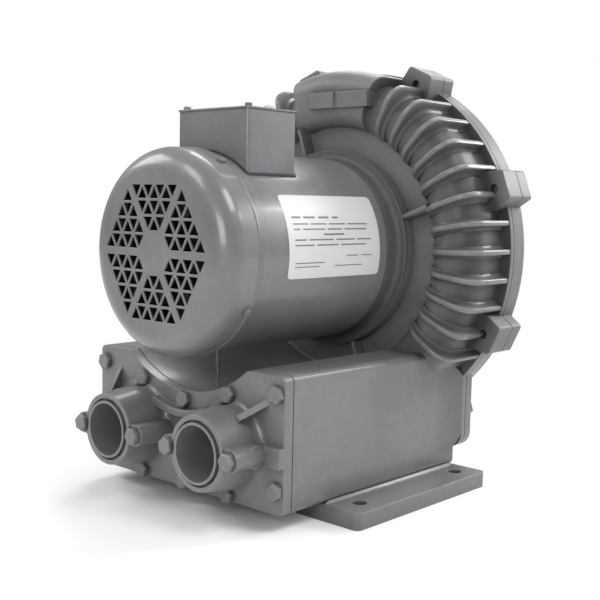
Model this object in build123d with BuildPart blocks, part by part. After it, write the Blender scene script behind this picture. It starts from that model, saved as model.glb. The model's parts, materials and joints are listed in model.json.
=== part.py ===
"""Side channel blower: ribbed ring housing on a muffler box, with a fan-cooled motor in its cradle.

Millimetres. The origin is the centre of the four foot holes, on the underside of the feet.
X runs to the right seen from the ports, Y runs back along the motor shaft, Z is up.
"""

import os
from math import cos, degrees, radians, sin, sqrt

from build123d import *

os.makedirs("parts", exist_ok=True)

# Clearances
press_gap = 0.05        # static fits, each side
screw_gap = 0.2         # small screws in their clearance holes
running_gap = 0.08      # shaft in a bush or seal lip
air_gap = 0.6           # rotor in stator
impeller_gap = 0.7      # impeller to housing
ball_gap = 0.3          # ball to race and ball to cage
gasket_thickness = 1.0
wall = 6.0              # cast walls
quarter_turn = 90.0     # between the four bolts or screws of a circle
cutter_reach = 3        # cutters are this many walls long, so they pass both faces

# Feet
foot_hole_spacing_x = 259.2
foot_hole_spacing_y = 135.2
foot_hole_radius = 6.0
foot_thickness = 13.65
foot_outer_x = 148.6
foot_inner_x = 80.0
foot_front_y = -92.2
foot_back_y = 89.2
foot_corner = 5.0

# Box under the motor
shaft_height = 209.5
box_half_width = 113.2
box_top_z = 121.0
box_corner = 5.0
cradle_radius = 114.5
plate_front_y = -139.5
plate_thickness = 9.0
box_front_y = plate_front_y + plate_thickness + gasket_thickness
partition = 6.0

# Ring channel of the housing, radii about the shaft
joint_y = 93.0                  # housing and cover meet here
impeller_tip_radius = 147.3
pocket_radius = impeller_tip_radius + impeller_gap
impeller_width = 31.6
pocket_half_width = impeller_width / 2 + impeller_gap
channel_root_radius = 106.0
channel_depth = 30.0
ring_wall = 9.0                 # outside the pocket
ring_radius = pocket_radius + ring_wall
ring_corner = 23.5
ring_front_y = 38.5
end_wall_y = 48.5               # annular wall round the motor
end_wall_radius = 113.0
rib_height = 8.0
rib_radius = ring_radius + rib_height
rib_corner = 17.5
rib_front_y = ring_front_y - rib_height
rib_front_radius = 134.0
rib_thickness = 4.4
rib_pitch = 8.8
first_rib = -34.2
smooth_start = 71.4
smooth_ribs = 4                 # rib pitches without a rib, at the top
rib_count_right = 12
rib_count_left = 12
hub_radius = 45.0
relief_radius = 98.0
stripper_angle = 24.0
port_start_angle = 13.0
port_end_angle = 37.0
port_inner_radius = 121.5
port_outer_radius = 143.5

# Flange between housing and cover
flange_step = 1.0               # flange beyond the ribs
flange_radius = rib_radius + flange_step
flange_thickness = 4.5
flange_overlap = 0.5            # box sunk in the flange
box_back_y = joint_y - flange_thickness + flange_overlap
flange_half_width = 122.0
flange_bottom_z = 29.0
flange_corner = 15.0
flange_shoulder_z = 97.5
shoulder_angle = -31.2
cover_rim_thickness = 18.5
cover_rim_step = 0.5            # rim inside the flange
cover_rim_radius = flange_radius - cover_rim_step
cover_plate_thickness = 9.0
cover_wall = 5.0                # skin over the channel
cover_corner = 30.0
cover_rib_height = 5.0
cover_rib_thickness = 5.0
cover_rib_count = 8
cover_rib_end_radius = 118.0
cover_boss_radius = 26.0

# Lugs for the cover bolts
lug_angle = 20.2
lug_pitch = 45.0
lug_hole_inset = 13.0           # bolt from the lug's end
lug_root_depth = 7.0            # lug sunk in the ring
lug_bolt_clearance = 9.0        # bolt outside the ring
lug_circle_radius = ring_radius + lug_bolt_clearance
lug_outer_radius = lug_circle_radius + lug_hole_inset
lug_base_radius = ring_radius - lug_root_depth
lug_width = 26.0
lug_base_width = 40.0
lug_front_y = 72.5
lug_back_y = 108.5
lug_corner = 3.0
low_bolt_x = 60.0
low_bolt_z = 38.0
side_bolt_z = 64.0

# Webs between the motor seat and the ring
web_angle = 20.2
web_thickness = 8.0
web_height = 12.0
seat_radius = 91.0
pilot_radius = 60.0
pilot_depth = 3.0

# Bolts: M8 hexagon heads
bolt_radius = 3.9
tap_radius = bolt_radius + press_gap
bolt_hole_radius = 4.2
hex_flats = 13.0
hex_height = 5.3
bolt_end_gap = 7.0
tap_end_gap = 2.0
bolt_grip = 14.0                # thread engaged in a casting

# Ports
port_x = 55.9
port_z = 58.9
neck_front_y = -176.5
neck_base_radius = 35.0
neck_radius = 30.0
tube_radius = 24.1
tube_wall = 2.1
tube_front_y = -178.3
tube_end_inside = 12.0
port_bolt_offset = 34.5
port_lug_radius = 9.0
port_lug_front_y = -175.2
port_bolt_length = 26.0
tapping_y = -151.5
tapping_radius = 9.5
tapping_end_x = 97.0
tapping_band_height = 16.0
tapping_band_depth = 5.0
plate_rib_width = 6.0
plate_rib_height = 8.0
gusset_width = 5.0
gusset_height = 15.0
gusset_ridge = 13.0             # full height up to here, then it slopes to the plate
ear_rib_start = (68.0, 79.0)
ear_rib_end = (96.5, 100.5)
upright_rib_start = (-86.0, 66.0)
upright_rib_end = (-86.0, 105.0)
bowed_rib_x = 33.0
bowed_rib_end_z = 84.0
bowed_rib_middle_z = 77.5
mouth_radius = 26.0
mouth_depth = 3.0
spot_face_radius = 8.0
spot_face_reach = 8.0           # cut clear behind a lug
neck_flare_radius = 7.0         # neck to plate

# Muffler foam
foam_radius = 37.0
foam_bore_radius = 25.0
foam_length = 136.0
foam_gap = 0.3

# Motor
shell_radius = 82.5
shell_wall = 3.0
shell_front_y = -128.0
shell_back_y = 20.0
lead_x = 11.25                  # middle of the conduit box
lead_y = -95.6
fan_cover_radius = 84.4
fan_cover_wall = 1.5
fan_cover_front_y = -174.0
fan_cover_back_y = -137.6
fan_cover_dome = 20.0
cover_screw_y = -142.0
cover_screw_angle = -30.0
cover_screw_radius = 1.9
cover_screw_flats = 6.5
cover_screw_head = 2.6
bell_front_y = -146.0
bell_rim_wall = 4.0
bell_web_front_y = -138.0
bell_web = 6.0
bell_boss_radius = 26.0
spigot_length = 8.0
spigot_wall = 5.5
drive_bell_step = 1.0           # bell body inside the shell's radius
drive_boss_radius = 33.0
drive_boss_front_y = 10.0
seat_flange_thickness = 12.0
grille_cell = 14.6
grille_web = 2.1
grille_spoke = 6.4
grille_rows = 4
stator_front_y = -98.0
stator_back_y = -22.0
stator_bore_radius = 45.0
winding_inner_radius = 51.0
winding_outer_radius = 69.0
winding_overhang = 20.0
end_ring_length = 10.0
end_ring_inner_radius = 26.0
end_ring_outer_radius = 42.0
through_bolt_circle = 73.5
through_bolt_radius = 2.4
through_bolt_hole_radius = 2.65
through_bolt_flats = 8.0
through_bolt_head = 3.5
through_bolt_end_y = 44.0
through_boss_radius = 5.8
motor_bolt_length = 18.0

# Shaft and bearings
fan_journal_radius = 8.5
drive_journal_radius = 12.5
core_seat_radius = 14.5
impeller_journal_radius = 11.1
shaft_front_y = -171.0
fan_bearing_y = -128.0
fan_bearing_width = 12.0
fan_bearing_outer_radius = 20.0
fan_ball_radius = 3.4
fan_ball_count = 8
drive_bearing_y = 12.0
drive_bearing_width = 15.0
drive_bearing_outer_radius = 26.0
drive_ball_radius = 3.95
drive_ball_count = 9
race_gap = 3.0                  # between the lands of the two rings
cage_thickness = 1.6
cage_margin = 1.0               # cage beyond the balls
spring_thickness = 1.6
spring_inner_radius = 14.0
fan_shoulder_radius = 11.0
fan_shoulder_length = 6.0
shaft_gap = 1.0                 # shaft in the bells
seal_radius = 20.0
seal_width = 8.0

# Impeller
vane_count = 36
vane_thickness = 3.0
vane_web = 3.0
impeller_root_radius = 104.0
impeller_disc = 10.0
impeller_hub_radius = 28.0
key_size = 5.0
key_length = 24.0
washer_radius = 17.0
washer_thickness = 3.0
impeller_bolt_length = 24.0
impeller_tap_depth = 26.0
keyway_start = 2.8              # behind the hub's front face

# Cooling fan
fan_radius = 70.0
fan_disc = 2.0
fan_back_y = -147.0
fan_blade_depth = 17.0
fan_blade_count = 8
fan_blade_thickness = 2.5
fan_hub_radius = 16.0
fan_hub_front_y = -168.0
fan_blade_tip = 2.0             # blades end this far inside the disc
clip_radius = 12.0
clip_thickness = 1.6
clip_groove_depth = 0.5

# Conduit box
conduit_left_x = -30.3
conduit_right_x = 52.8
conduit_front_y = -123.5
conduit_back_y = -67.7
conduit_top_z = 324.6
conduit_wall = 1.5
conduit_corner = 3.0
conduit_lip = 1.2
lid_thickness = 1.5
lid_overhang = 0.8
conduit_hole_radius = 11.1
lead_hole_radius = 12.0
lid_screw_radius = 1.9
lid_screw_flats = 5.5
lid_screw_head = 3.0
lid_screw_length = 12.0
post_radius = 4.0
screw_inset = 5.3
conduit_hole_z = 306.5
box_screw_spread = 18.0
box_screw_reach = 5.3
terminal_left_x = 28.0
terminal_right_x = 42.0
terminal_length = 34.0
terminal_top_z = 301.0
terminal_groove = 3.0
terminal_screws = 4
ground_screw_y = -10.0
ground_screw_angle = -65.0
ground_screw_radius = 2.4
ground_screw_length = 5.0
ground_hole_extra = 1.5

# Housing details
chamber_end_wall = 11.0
chamber_back_y = box_back_y - chamber_end_wall
box_boss_length = 18.0
box_boss_radius = 7.0
bolt_tap_depth = 15.0
end_wall_thickness = 8.0
motor_bolt_circle = 75.0
motor_bolt_angle = web_angle + 45
seal_shoulder = 2.0
shaft_bore_gap = 0.8            # shaft in the end wall
shaft_bore_radius = drive_journal_radius + shaft_bore_gap
pad_left_x = -20.0
pad_right_x = 48.0
pad_split_x = 10.0
pad_bottom_z = 338.5
pad_top_z = 353.0
pad_front_y = 28.5
pad_depth = 16.0
pad_step = 1.5
flare_front_y = 58.0
port_depth_y = 62.0
low_tap_depth = 12.0

# Stations and radii that follow from the sizes above
channel_middle_radius = (pocket_radius + channel_root_radius) / 2
channel_half_width = (pocket_radius - channel_root_radius) / 2
front_pocket_y = joint_y - pocket_half_width
relief_y = end_wall_y + end_wall_thickness
seal_y = front_pocket_y - seal_width - seal_shoulder
cover_y = joint_y + gasket_thickness
impeller_front_y = joint_y - impeller_width / 2
impeller_back_y = joint_y + impeller_width / 2
washer_back_y = impeller_back_y + washer_thickness
bell_back_y = end_wall_y
seat_flange_front_y = bell_back_y - seat_flange_thickness
spring_front_y = fan_bearing_y - spring_thickness
shaft_end_inset = 0.8           # shaft ends inside the hub
shaft_back_y = impeller_back_y - shaft_end_inset

shaft_axis = Axis((0, 0, shaft_height), (0, 1, 0))


def radial_plane(angle):
    """Half plane through the shaft: local x runs back along the shaft, local y outward at the angle."""
    turn = radians(angle)
    return Plane(origin=(0, 0, shaft_height), x_dir=(0, 1, 0), z_dir=(sin(turn), 0, -cos(turn)))


def shaft_plane(y):
    """Plane square to the shaft at a station, centred on the shaft, facing the front."""
    return Plane(origin=(0, y, shaft_height), x_dir=(1, 0, 0), z_dir=(0, -1, 0))


def front_plane(y):
    """Plane square to the shaft at a station, with its origin on the floor, facing the front."""
    return Plane(origin=(0, y, 0), x_dir=(1, 0, 0), z_dir=(0, -1, 0))


def polar(radius, angle):
    """Point on a shaft plane at a radius and an angle."""
    return (radius * cos(radians(angle)), radius * sin(radians(angle)))


def tube(front_y, back_y, outer, inner=0.0):
    """Tube about the shaft between two stations, or a disc when it has no bore."""
    with BuildPart() as piece:
        with BuildSketch(shaft_plane(back_y)):
            Circle(outer)
            if inner > 0:
                Circle(inner, mode=Mode.SUBTRACT)
        extrude(amount=back_y - front_y)
    return piece.part


def bar(x, z, front_y, back_y, outer, inner=0.0):
    """Round bar or tube along Y at a place above the floor."""
    with BuildPart() as piece:
        with BuildSketch(front_plane(back_y)):
            with Locations((x, z)):
                Circle(outer)
                if inner > 0:
                    Circle(inner, mode=Mode.SUBTRACT)
        extrude(amount=back_y - front_y)
    return piece.part


def hex_bolt(shank_radius, length, flats=hex_flats, head=hex_height):
    """Hexagon bolt: the seat of its head is at the origin, the head is above and the shank below."""
    with BuildPart() as bolt:
        with BuildSketch():
            RegularPolygon(flats / 2, 6, major_radius=False, rotation=30)
        extrude(amount=head)
        with BuildSketch():
            Circle(shank_radius)
        extrude(amount=-length)
    return bolt.part


def seat(x, y, z, toward_front=True):
    """Plane for a bolt along Y, with its head toward the front or the back."""
    return Plane(origin=(x, y, z), x_dir=(1, 0, 0), z_dir=(0, -1 if toward_front else 1, 0))


def seat_polar(radius, angle, y, toward_front=True):
    """Bolt plane at a radius and an angle about the shaft."""
    x, z = polar(radius, angle)
    return seat(x, y, z + shaft_height, toward_front)


def radial_seat(radius, angle, y, outward=True):
    """Plane at a radius and an angle about the shaft; its z axis points away from the shaft, or toward it."""
    x, z = polar(radius, angle)
    turn = 1 if outward else -1
    normal = (turn * cos(radians(angle)), 0, turn * sin(radians(angle)))
    return Plane(origin=(x, y, z + shaft_height), x_dir=(0, 1, 0), z_dir=normal)


def box_outline():
    """Front outline of the box and its plate: rounded corners, and the cradle scooped about the shaft."""
    with BuildSketch() as outline:
        with Locations((0, (box_top_z + foot_thickness) / 2)):
            RectangleRounded(2 * box_half_width, box_top_z - foot_thickness, box_corner)
        with Locations((0, shaft_height)):
            Circle(cradle_radius, mode=Mode.SUBTRACT)
    return outline.sketch


def chamber_outline(side):
    """Inside of one muffler chamber, on the right for side 1 and on the left for side -1."""
    width = box_half_width - wall - partition / 2
    height = box_top_z - foot_thickness - 2 * wall
    with BuildSketch() as chamber:
        with Locations((side * (partition / 2 + width / 2), foot_thickness + wall + height / 2)):
            Rectangle(width, height)
        with Locations((0, shaft_height)):
            Circle(cradle_radius + wall, mode=Mode.SUBTRACT)
    return chamber.sketch


def ring_profile(straight_back_y, outer, corner, front_y, front_radius, closing_radius):
    """Half section of the ring: straight outside, rounded front, and back to the annular wall."""
    with BuildSketch() as profile:
        with BuildLine():
            outside = Line((straight_back_y, outer), (front_y + corner, outer))
            shoulder = TangentArc(outside @ 1, (front_y, outer - corner), tangent=outside % 1)
            if front_radius < outer - corner:
                flat = Line(shoulder @ 1, (front_y, front_radius))
            else:
                flat = shoulder
            inside = TangentArc(flat @ 1, (end_wall_y, end_wall_radius), tangent=flat % 1)
            Polyline(inside @ 1, (end_wall_y, closing_radius), (straight_back_y, closing_radius), outside @ 0)
        make_face()
    return profile.sketch


def flange_outline():
    """Outline shared by flange, gasket and cover: the ring's circle, and the plate behind the box."""
    shoulder_x, shoulder_z = polar(flange_radius, shoulder_angle)
    shoulder_z = shoulder_z + shaft_height
    with BuildSketch() as outline:
        with BuildLine():
            Polyline(
                (-flange_half_width, flange_bottom_z),
                (flange_half_width, flange_bottom_z),
                (flange_half_width, flange_shoulder_z),
                (shoulder_x, shoulder_z),
                (-shoulder_x, shoulder_z),
                (-flange_half_width, flange_shoulder_z),
                close=True,
            )
        make_face()
        fillet(outline.vertices().group_by(Axis.Y)[0], flange_corner)
        with Locations((0, shaft_height)):
            Circle(flange_radius)
    return outline.sketch


def lug_section():
    """One lug, tapered outward, with its root inside the ring; local x is radial."""
    with BuildSketch() as lug:
        with BuildLine():
            Polyline(
                (lug_base_radius, -lug_base_width / 2),
                (lug_outer_radius, -lug_width / 2),
                (lug_outer_radius, lug_width / 2),
                (lug_base_radius, lug_base_width / 2),
                close=True,
            )
        make_face()
        fillet(lug.vertices().group_by(Axis.X)[-1], lug_corner)
    return lug.sketch


def lug_block(front_y, back_y, angle):
    """A lug between two stations at an angle about the shaft."""
    with BuildPart() as block:
        with BuildSketch(shaft_plane(back_y)):
            add(lug_section().rotate(Axis.Z, angle))
        extrude(amount=back_y - front_y)
    return block.part


lug_angles = [lug_angle + lug_pitch * step for step in (-1, 0, 1, 2, 3, 4)]
rib_angles_right = [first_rib + rib_pitch * step for step in range(rib_count_right)]
smooth_end = smooth_start + rib_pitch * smooth_ribs
rib_angles_left = [smooth_end + rib_pitch * (step + 1) for step in range(rib_count_left)]
rib_angles = rib_angles_right + rib_angles_left
rib_wedge = degrees(rib_thickness / rib_radius)
side_bolt_x = (flange_half_width + box_half_width - wall) / 2
low_bolts = [(-low_bolt_x, low_bolt_z), (low_bolt_x, low_bolt_z)]
side_bolts = [(-side_bolt_x, side_bolt_z), (side_bolt_x, side_bolt_z)]
foot_hole_places = [
    (sx * foot_hole_spacing_x / 2, sy * foot_hole_spacing_y / 2) for sx in (-1, 1) for sy in (-1, 1)
]
manifold_bolt_places = [
    (0, 88.4),
    (52.5, 99.5),
    (105.5, 107.0),
    (105.5, 32.4),
    (53.0, 19.5),
    (0, 19.5),
    (-53.0, 19.5),
    (-105.5, 32.4),
    (-105.5, 107.0),
    (-52.5, 99.5),
]


def rib_section(angle):
    """Face of a rib on the half plane at an angle, closed inside the ring's wall."""
    rib_back_y = joint_y - flange_thickness / 2
    rib_root_radius = end_wall_radius - wall
    section = ring_profile(rib_back_y, rib_radius, rib_corner, rib_front_y, rib_front_radius, rib_root_radius)
    return radial_plane(angle) * section


def front_ring():
    """Outside of the ring's front half: the cast ring with its ribs, and the smooth sector on top."""
    ring_face_radius = ring_radius - ring_corner
    section = ring_profile(joint_y, ring_radius, ring_corner, ring_front_y, ring_face_radius, 0)
    with BuildPart() as half:
        for angle in rib_angles:
            add(rib_section(angle + rib_wedge / 2))
        revolve(axis=shaft_axis, revolution_arc=rib_wedge)
        add(radial_plane(90) * section)
        revolve(axis=shaft_axis)
        add(rib_section(smooth_end))
        revolve(axis=shaft_axis, revolution_arc=smooth_end - smooth_start)
    return half.part


def rear_ring():
    """Outside of the ring's rear half: a bare skin close to the channel, and a disc with a boss and ribs."""
    outer = pocket_radius + cover_wall
    skin_front_y = front_pocket_y - channel_depth - cover_wall
    section = ring_profile(joint_y, outer, cover_corner, skin_front_y, outer - cover_corner, 0)
    with BuildPart() as half:
        add(radial_plane(90) * section)
        revolve(axis=shaft_axis)
        with BuildSketch(shaft_plane(end_wall_y)):
            Circle(cover_boss_radius)
            with PolarLocations(cover_rib_end_radius / 2, cover_rib_count):
                Rectangle(cover_rib_end_radius, cover_rib_thickness)
        extrude(amount=cover_rib_height)
        mirror(about=Plane(origin=(0, joint_y, 0), z_dir=(0, 1, 0)), mode=Mode.REPLACE)
    return half.part


def channel_cavity(front=True):
    """Space for the impeller and the channel beside it, which the stripper interrupts at the bottom."""
    with BuildPart() as cavity:
        with BuildSketch(radial_plane(270 - stripper_angle / 2)):
            with Locations((front_pocket_y, channel_middle_radius)):
                Ellipse(channel_depth, channel_half_width)
        revolve(axis=shaft_axis, revolution_arc=360 - stripper_angle)
        add(tube(front_pocket_y, joint_y, pocket_radius))
        add(tube(relief_y, front_pocket_y, relief_radius, hub_radius if front else 0))
        if not front:
            mirror(about=Plane(origin=(0, joint_y, 0), z_dir=(0, 1, 0)), mode=Mode.REPLACE)
    return cavity.part


# Space inside the housing: channel, passages from the chambers, bores and bolt holes
with BuildPart() as housing_space:
    add(channel_cavity())
    port_middle_y = (ring_front_y - wall + port_depth_y) / 2
    port_middle_radius = (port_inner_radius + port_outer_radius) / 2
    for end_angle in (270 - port_start_angle, 270 + port_end_angle):
        with BuildSketch(radial_plane(end_angle)):
            with Locations((port_middle_y, port_middle_radius)):
                Rectangle(port_depth_y - ring_front_y + wall, port_outer_radius - port_inner_radius)
    revolve(axis=shaft_axis, revolution_arc=port_end_angle - port_start_angle)
    add(tube(end_wall_y - 1, joint_y, shaft_bore_radius))
    add(tube(seal_y, front_pocket_y, seal_radius + press_gap))
    add(tube(end_wall_y - 1, end_wall_y + pilot_depth + press_gap, pilot_radius + press_gap))
    for angle in lug_angles:
        x, z = polar(lug_circle_radius, angle)
        add(bar(x, z + shaft_height, lug_front_y - 1, joint_y + 1, tap_radius))
    for x, z in low_bolts + side_bolts:
        add(bar(x, z, joint_y - low_tap_depth, joint_y + 1, tap_radius))
    for x, z in manifold_bolt_places:
        add(bar(x, z, box_front_y - 1, box_front_y + bolt_tap_depth, tap_radius))
    for step in range(4):
        x, z = polar(motor_bolt_circle, motor_bolt_angle + quarter_turn * step)
        add(bar(x, z + shaft_height, end_wall_y - 1, relief_y + 1, bolt_hole_radius))
    for x, y in foot_hole_places:
        with Locations((x, y, 0)):
            Cylinder(foot_hole_radius, cutter_reach * foot_thickness)
    with Locations(radial_seat(cradle_radius - 1, ground_screw_angle, ground_screw_y)):
        hole_length = ground_screw_length + ground_hole_extra
        Cylinder(ground_screw_radius + press_gap, hole_length, align=(Align.CENTER, Align.CENTER, Align.MIN))

# Housing: ring, end wall, box and feet in one casting
with BuildPart() as blower_housing:
    with BuildSketch(front_plane(box_back_y)):
        add(box_outline())
    extrude(amount=box_back_y - box_front_y)
    with BuildSketch(front_plane(chamber_back_y)):
        add(chamber_outline(1))
        add(chamber_outline(-1))
    extrude(amount=chamber_back_y - box_front_y, mode=Mode.SUBTRACT)
    with BuildSketch(front_plane(box_front_y + box_boss_length)):
        with Locations(*manifold_bolt_places):
            Circle(box_boss_radius)
        add(box_outline(), mode=Mode.INTERSECT)
    extrude(amount=box_boss_length)
    # foot rails
    with BuildSketch():
        for side in (-1, 1):
            with Locations((side * (foot_outer_x + foot_inner_x) / 2, (foot_front_y + foot_back_y) / 2)):
                RectangleRounded(foot_outer_x - foot_inner_x, foot_back_y - foot_front_y, foot_corner)
    extrude(amount=foot_thickness)
    # sides of the box flared out to the flange
    with BuildSketch(Plane.XY.offset(flange_bottom_z)):
        with BuildLine():
            flare = TangentArc(
                (box_half_width, flare_front_y),
                (flange_half_width, joint_y - flange_thickness),
                tangent=(0, 1),
            )
            Polyline(
                flare @ 1,
                (box_half_width - wall, joint_y - flange_thickness),
                (box_half_width - wall, flare_front_y),
                flare @ 0,
            )
        make_face()
        mirror(about=Plane.YZ)
    extrude(amount=flange_shoulder_z - flange_bottom_z)
    # flange and lugs
    with BuildSketch(front_plane(joint_y)):
        add(flange_outline())
    extrude(amount=flange_thickness)
    for angle in lug_angles:
        add(lug_block(lug_front_y, joint_y, angle))
    # ribbed ring
    add(front_ring())
    # cast pad on the smooth sector
    with BuildSketch(front_plane(pad_front_y + pad_depth)):
        with Locations(((pad_left_x + pad_right_x) / 2, (pad_bottom_z + pad_top_z) / 2)):
            Rectangle(pad_right_x - pad_left_x, pad_top_z - pad_bottom_z)
    extrude(amount=pad_depth)
    with BuildSketch(front_plane(pad_front_y)):
        with Locations(((pad_left_x + pad_split_x) / 2, (pad_bottom_z + pad_top_z) / 2)):
            Rectangle(pad_split_x - pad_left_x, pad_top_z - pad_bottom_z)
    extrude(amount=pad_step)
    # webs from the motor seat to the ring
    with BuildSketch(shaft_plane(end_wall_y + 1)):
        with PolarLocations((seat_radius + end_wall_radius + wall) / 2, 4, start_angle=web_angle):
            Rectangle(end_wall_radius + wall - seat_radius - 1, web_thickness)
    extrude(amount=web_height + 1)
    add(housing_space.part, mode=Mode.SUBTRACT)
blower_housing.part.label = "blower_housing"
export_step(blower_housing.part, "parts/blower_housing.step")

# Rear cover: the other half of the ring, its rim, lugs and the plate that closes the box behind
with BuildPart() as cover_space:
    add(channel_cavity(front=False))
    add(tube(joint_y - 1, cover_y, lug_outer_radius))
    for angle in lug_angles:
        x, z = polar(lug_circle_radius, angle)
        add(bar(x, z + shaft_height, joint_y, lug_back_y + 1, bolt_hole_radius))
        add(bar(x, z + shaft_height, lug_back_y, lug_back_y + spot_face_reach, spot_face_radius))
    for x, z in low_bolts + side_bolts:
        add(bar(x, z, joint_y, cover_y + cover_plate_thickness + 1, bolt_hole_radius))

with BuildPart() as housing_cover:
    with BuildSketch(front_plane(cover_y + cover_plate_thickness)):
        add(flange_outline())
    extrude(amount=cover_plate_thickness)
    add(tube(cover_y, joint_y + cover_rim_thickness, cover_rim_radius, ring_radius - wall))
    for angle in lug_angles:
        add(lug_block(cover_y, lug_back_y, angle))
    add(rear_ring())
    add(cover_space.part, mode=Mode.SUBTRACT)
housing_cover.part.label = "housing_cover"
export_step(housing_cover.part, "parts/housing_cover.step")

# Gasket between the castings
with BuildPart() as cover_gasket:
    with BuildSketch(front_plane(cover_y)):
        add(flange_outline())
        for angle in lug_angles:
            add(Pos(0, shaft_height) * lug_section().rotate(Axis.Z, angle))
        with Locations((0, shaft_height)):
            Circle(pocket_radius, mode=Mode.SUBTRACT)
        for angle in lug_angles:
            x, z = polar(lug_circle_radius, angle)
            with Locations((x, z + shaft_height)):
                Circle(bolt_hole_radius, mode=Mode.SUBTRACT)
        with Locations(*(low_bolts + side_bolts)):
            Circle(bolt_hole_radius, mode=Mode.SUBTRACT)
    extrude(amount=gasket_thickness)
cover_gasket.part.label = "cover_gasket"
export_step(cover_gasket.part, "parts/cover_gasket.step")

# Bolts of the rear cover, heads behind
with BuildPart() as cover_bolts:
    lug_bolt = hex_bolt(bolt_radius, lug_back_y - lug_front_y - bolt_end_gap)
    plate_bolt = hex_bolt(bolt_radius, cover_plate_thickness + gasket_thickness + low_tap_depth - tap_end_gap)
    for angle in lug_angles:
        with Locations(seat_polar(lug_circle_radius, angle, lug_back_y, toward_front=False)):
            add(lug_bolt)
    for x, z in low_bolts + side_bolts:
        with Locations(seat(x, cover_y + cover_plate_thickness, z, toward_front=False)):
            add(plate_bolt)
cover_bolts.part.label = "cover_bolts"
export_step(cover_bolts.part, "parts/cover_bolts.step")

def neck(side):
    """Port neck, tapered toward its mouth and flared into the plate; side -1 is the inlet, 1 the outlet."""
    slope = (neck_base_radius - neck_radius) / (plate_front_y - neck_front_y)
    flare_start_y = plate_front_y - neck_flare_radius
    flare_start_radius = neck_base_radius - slope * neck_flare_radius
    flare_root_y = plate_front_y + plate_thickness / 2
    with BuildPart() as piece:
        with BuildSketch(Plane(origin=(side * port_x, 0, port_z), x_dir=(0, 1, 0), z_dir=(1, 0, 0))):
            with BuildLine():
                flank = Line((neck_front_y, neck_radius), (flare_start_y, flare_start_radius))
                flare_end = (plate_front_y, flare_start_radius + neck_flare_radius)
                flare = TangentArc(flank @ 1, flare_end, tangent=flank % 1)
                root = (flare_root_y, (flare @ 1).Y)
                Polyline(flare @ 1, root, (flare_root_y, 0), (neck_front_y, 0), flank @ 0)
            make_face()
        revolve(axis=Axis((side * port_x, 0, port_z), (0, 1, 0)))
    return piece.part


def gusset(start, end):
    """Wedge-shaped rib on the plate, high at a neck and sloping down to its far end."""
    reach_x = end[0] - start[0]
    reach_z = end[1] - start[1]
    reach = sqrt(reach_x**2 + reach_z**2)
    root = (start[0], plate_front_y, start[1])
    side_plane = Plane(origin=root, x_dir=(reach_x, 0, reach_z), z_dir=(reach_z, 0, -reach_x))
    with BuildPart() as piece:
        with BuildSketch(side_plane):
            with BuildLine():
                Polyline(
                    (0, -plate_thickness / 2),
                    (reach, -plate_thickness / 2),
                    (reach, 0),
                    (gusset_ridge, gusset_height),
                    (0, gusset_height),
                    close=True,
                )
            make_face()
        extrude(amount=gusset_width / 2, both=True)
    return piece.part


# Manifold cover: plate, necks, bolt lugs and ribs
with BuildPart() as manifold_cover:
    with BuildSketch(front_plane(plate_front_y + plate_thickness)):
        add(box_outline())
    extrude(amount=plate_thickness)
    for side in (-1, 1):
        add(neck(side))
    with BuildSketch(front_plane(plate_front_y)):
        with Locations((-port_x, port_z), (port_x, port_z)):
            SlotCenterToCenter(2 * port_bolt_offset, 2 * port_lug_radius)
    extrude(amount=plate_front_y - port_lug_front_y)
    # tapping boss on the right neck, and the band behind it
    with BuildSketch(Plane(origin=(port_x, tapping_y, port_z), x_dir=(0, 1, 0), z_dir=(1, 0, 0))):
        Circle(tapping_radius)
    extrude(amount=tapping_end_x - port_x)
    with BuildSketch(front_plane(plate_front_y)):
        with Locations(((port_x + box_half_width) / 2, port_z)):
            Rectangle(box_half_width - port_x, tapping_band_height)
    extrude(amount=tapping_band_depth)
    # ribs from the necks to the ears, and the bowed rib between the necks
    with BuildSketch(front_plane(plate_front_y)):
        with BuildLine():
            ThreePointArc(
                (-bowed_rib_x, bowed_rib_end_z), (0, bowed_rib_middle_z), (bowed_rib_x, bowed_rib_end_z)
            )
        trace(line_width=plate_rib_width)
    extrude(amount=plate_rib_height)
    add(gusset(ear_rib_start, ear_rib_end))
    add(gusset(upright_rib_start, upright_rib_end))
    # ports, bolt holes and their spot faces
    lug_hole_back_y = port_lug_front_y + port_bolt_length
    for side in (-1, 1):
        x = side * port_x
        add(bar(x, port_z, neck_front_y - 1, box_front_y, tube_radius + press_gap), mode=Mode.SUBTRACT)
        add(bar(x, port_z, neck_front_y - 1, neck_front_y + mouth_depth, mouth_radius), mode=Mode.SUBTRACT)
        for lug_x in (x - port_bolt_offset, x + port_bolt_offset):
            add(bar(lug_x, port_z, port_lug_front_y, lug_hole_back_y, tap_radius), mode=Mode.SUBTRACT)
            add(bar(lug_x, port_z, neck_front_y - 1, port_lug_front_y, spot_face_radius), mode=Mode.SUBTRACT)
    for x, z in manifold_bolt_places:
        add(bar(x, z, plate_front_y, box_front_y, bolt_hole_radius), mode=Mode.SUBTRACT)
        add(bar(x, z, neck_front_y, plate_front_y, spot_face_radius), mode=Mode.SUBTRACT)
manifold_cover.part.label = "manifold_cover"
export_step(manifold_cover.part, "parts/manifold_cover.step")

# Gasket behind the manifold cover
with BuildPart() as manifold_gasket:
    with BuildSketch(front_plane(box_front_y)):
        add(box_outline())
        add(chamber_outline(1), mode=Mode.SUBTRACT)
        add(chamber_outline(-1), mode=Mode.SUBTRACT)
        with Locations(*manifold_bolt_places):
            Circle(box_boss_radius)
        add(box_outline(), mode=Mode.INTERSECT)
        with Locations(*manifold_bolt_places):
            Circle(bolt_hole_radius, mode=Mode.SUBTRACT)
    extrude(amount=gasket_thickness)
manifold_gasket.part.label = "manifold_gasket"
export_step(manifold_gasket.part, "parts/manifold_gasket.step")

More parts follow.
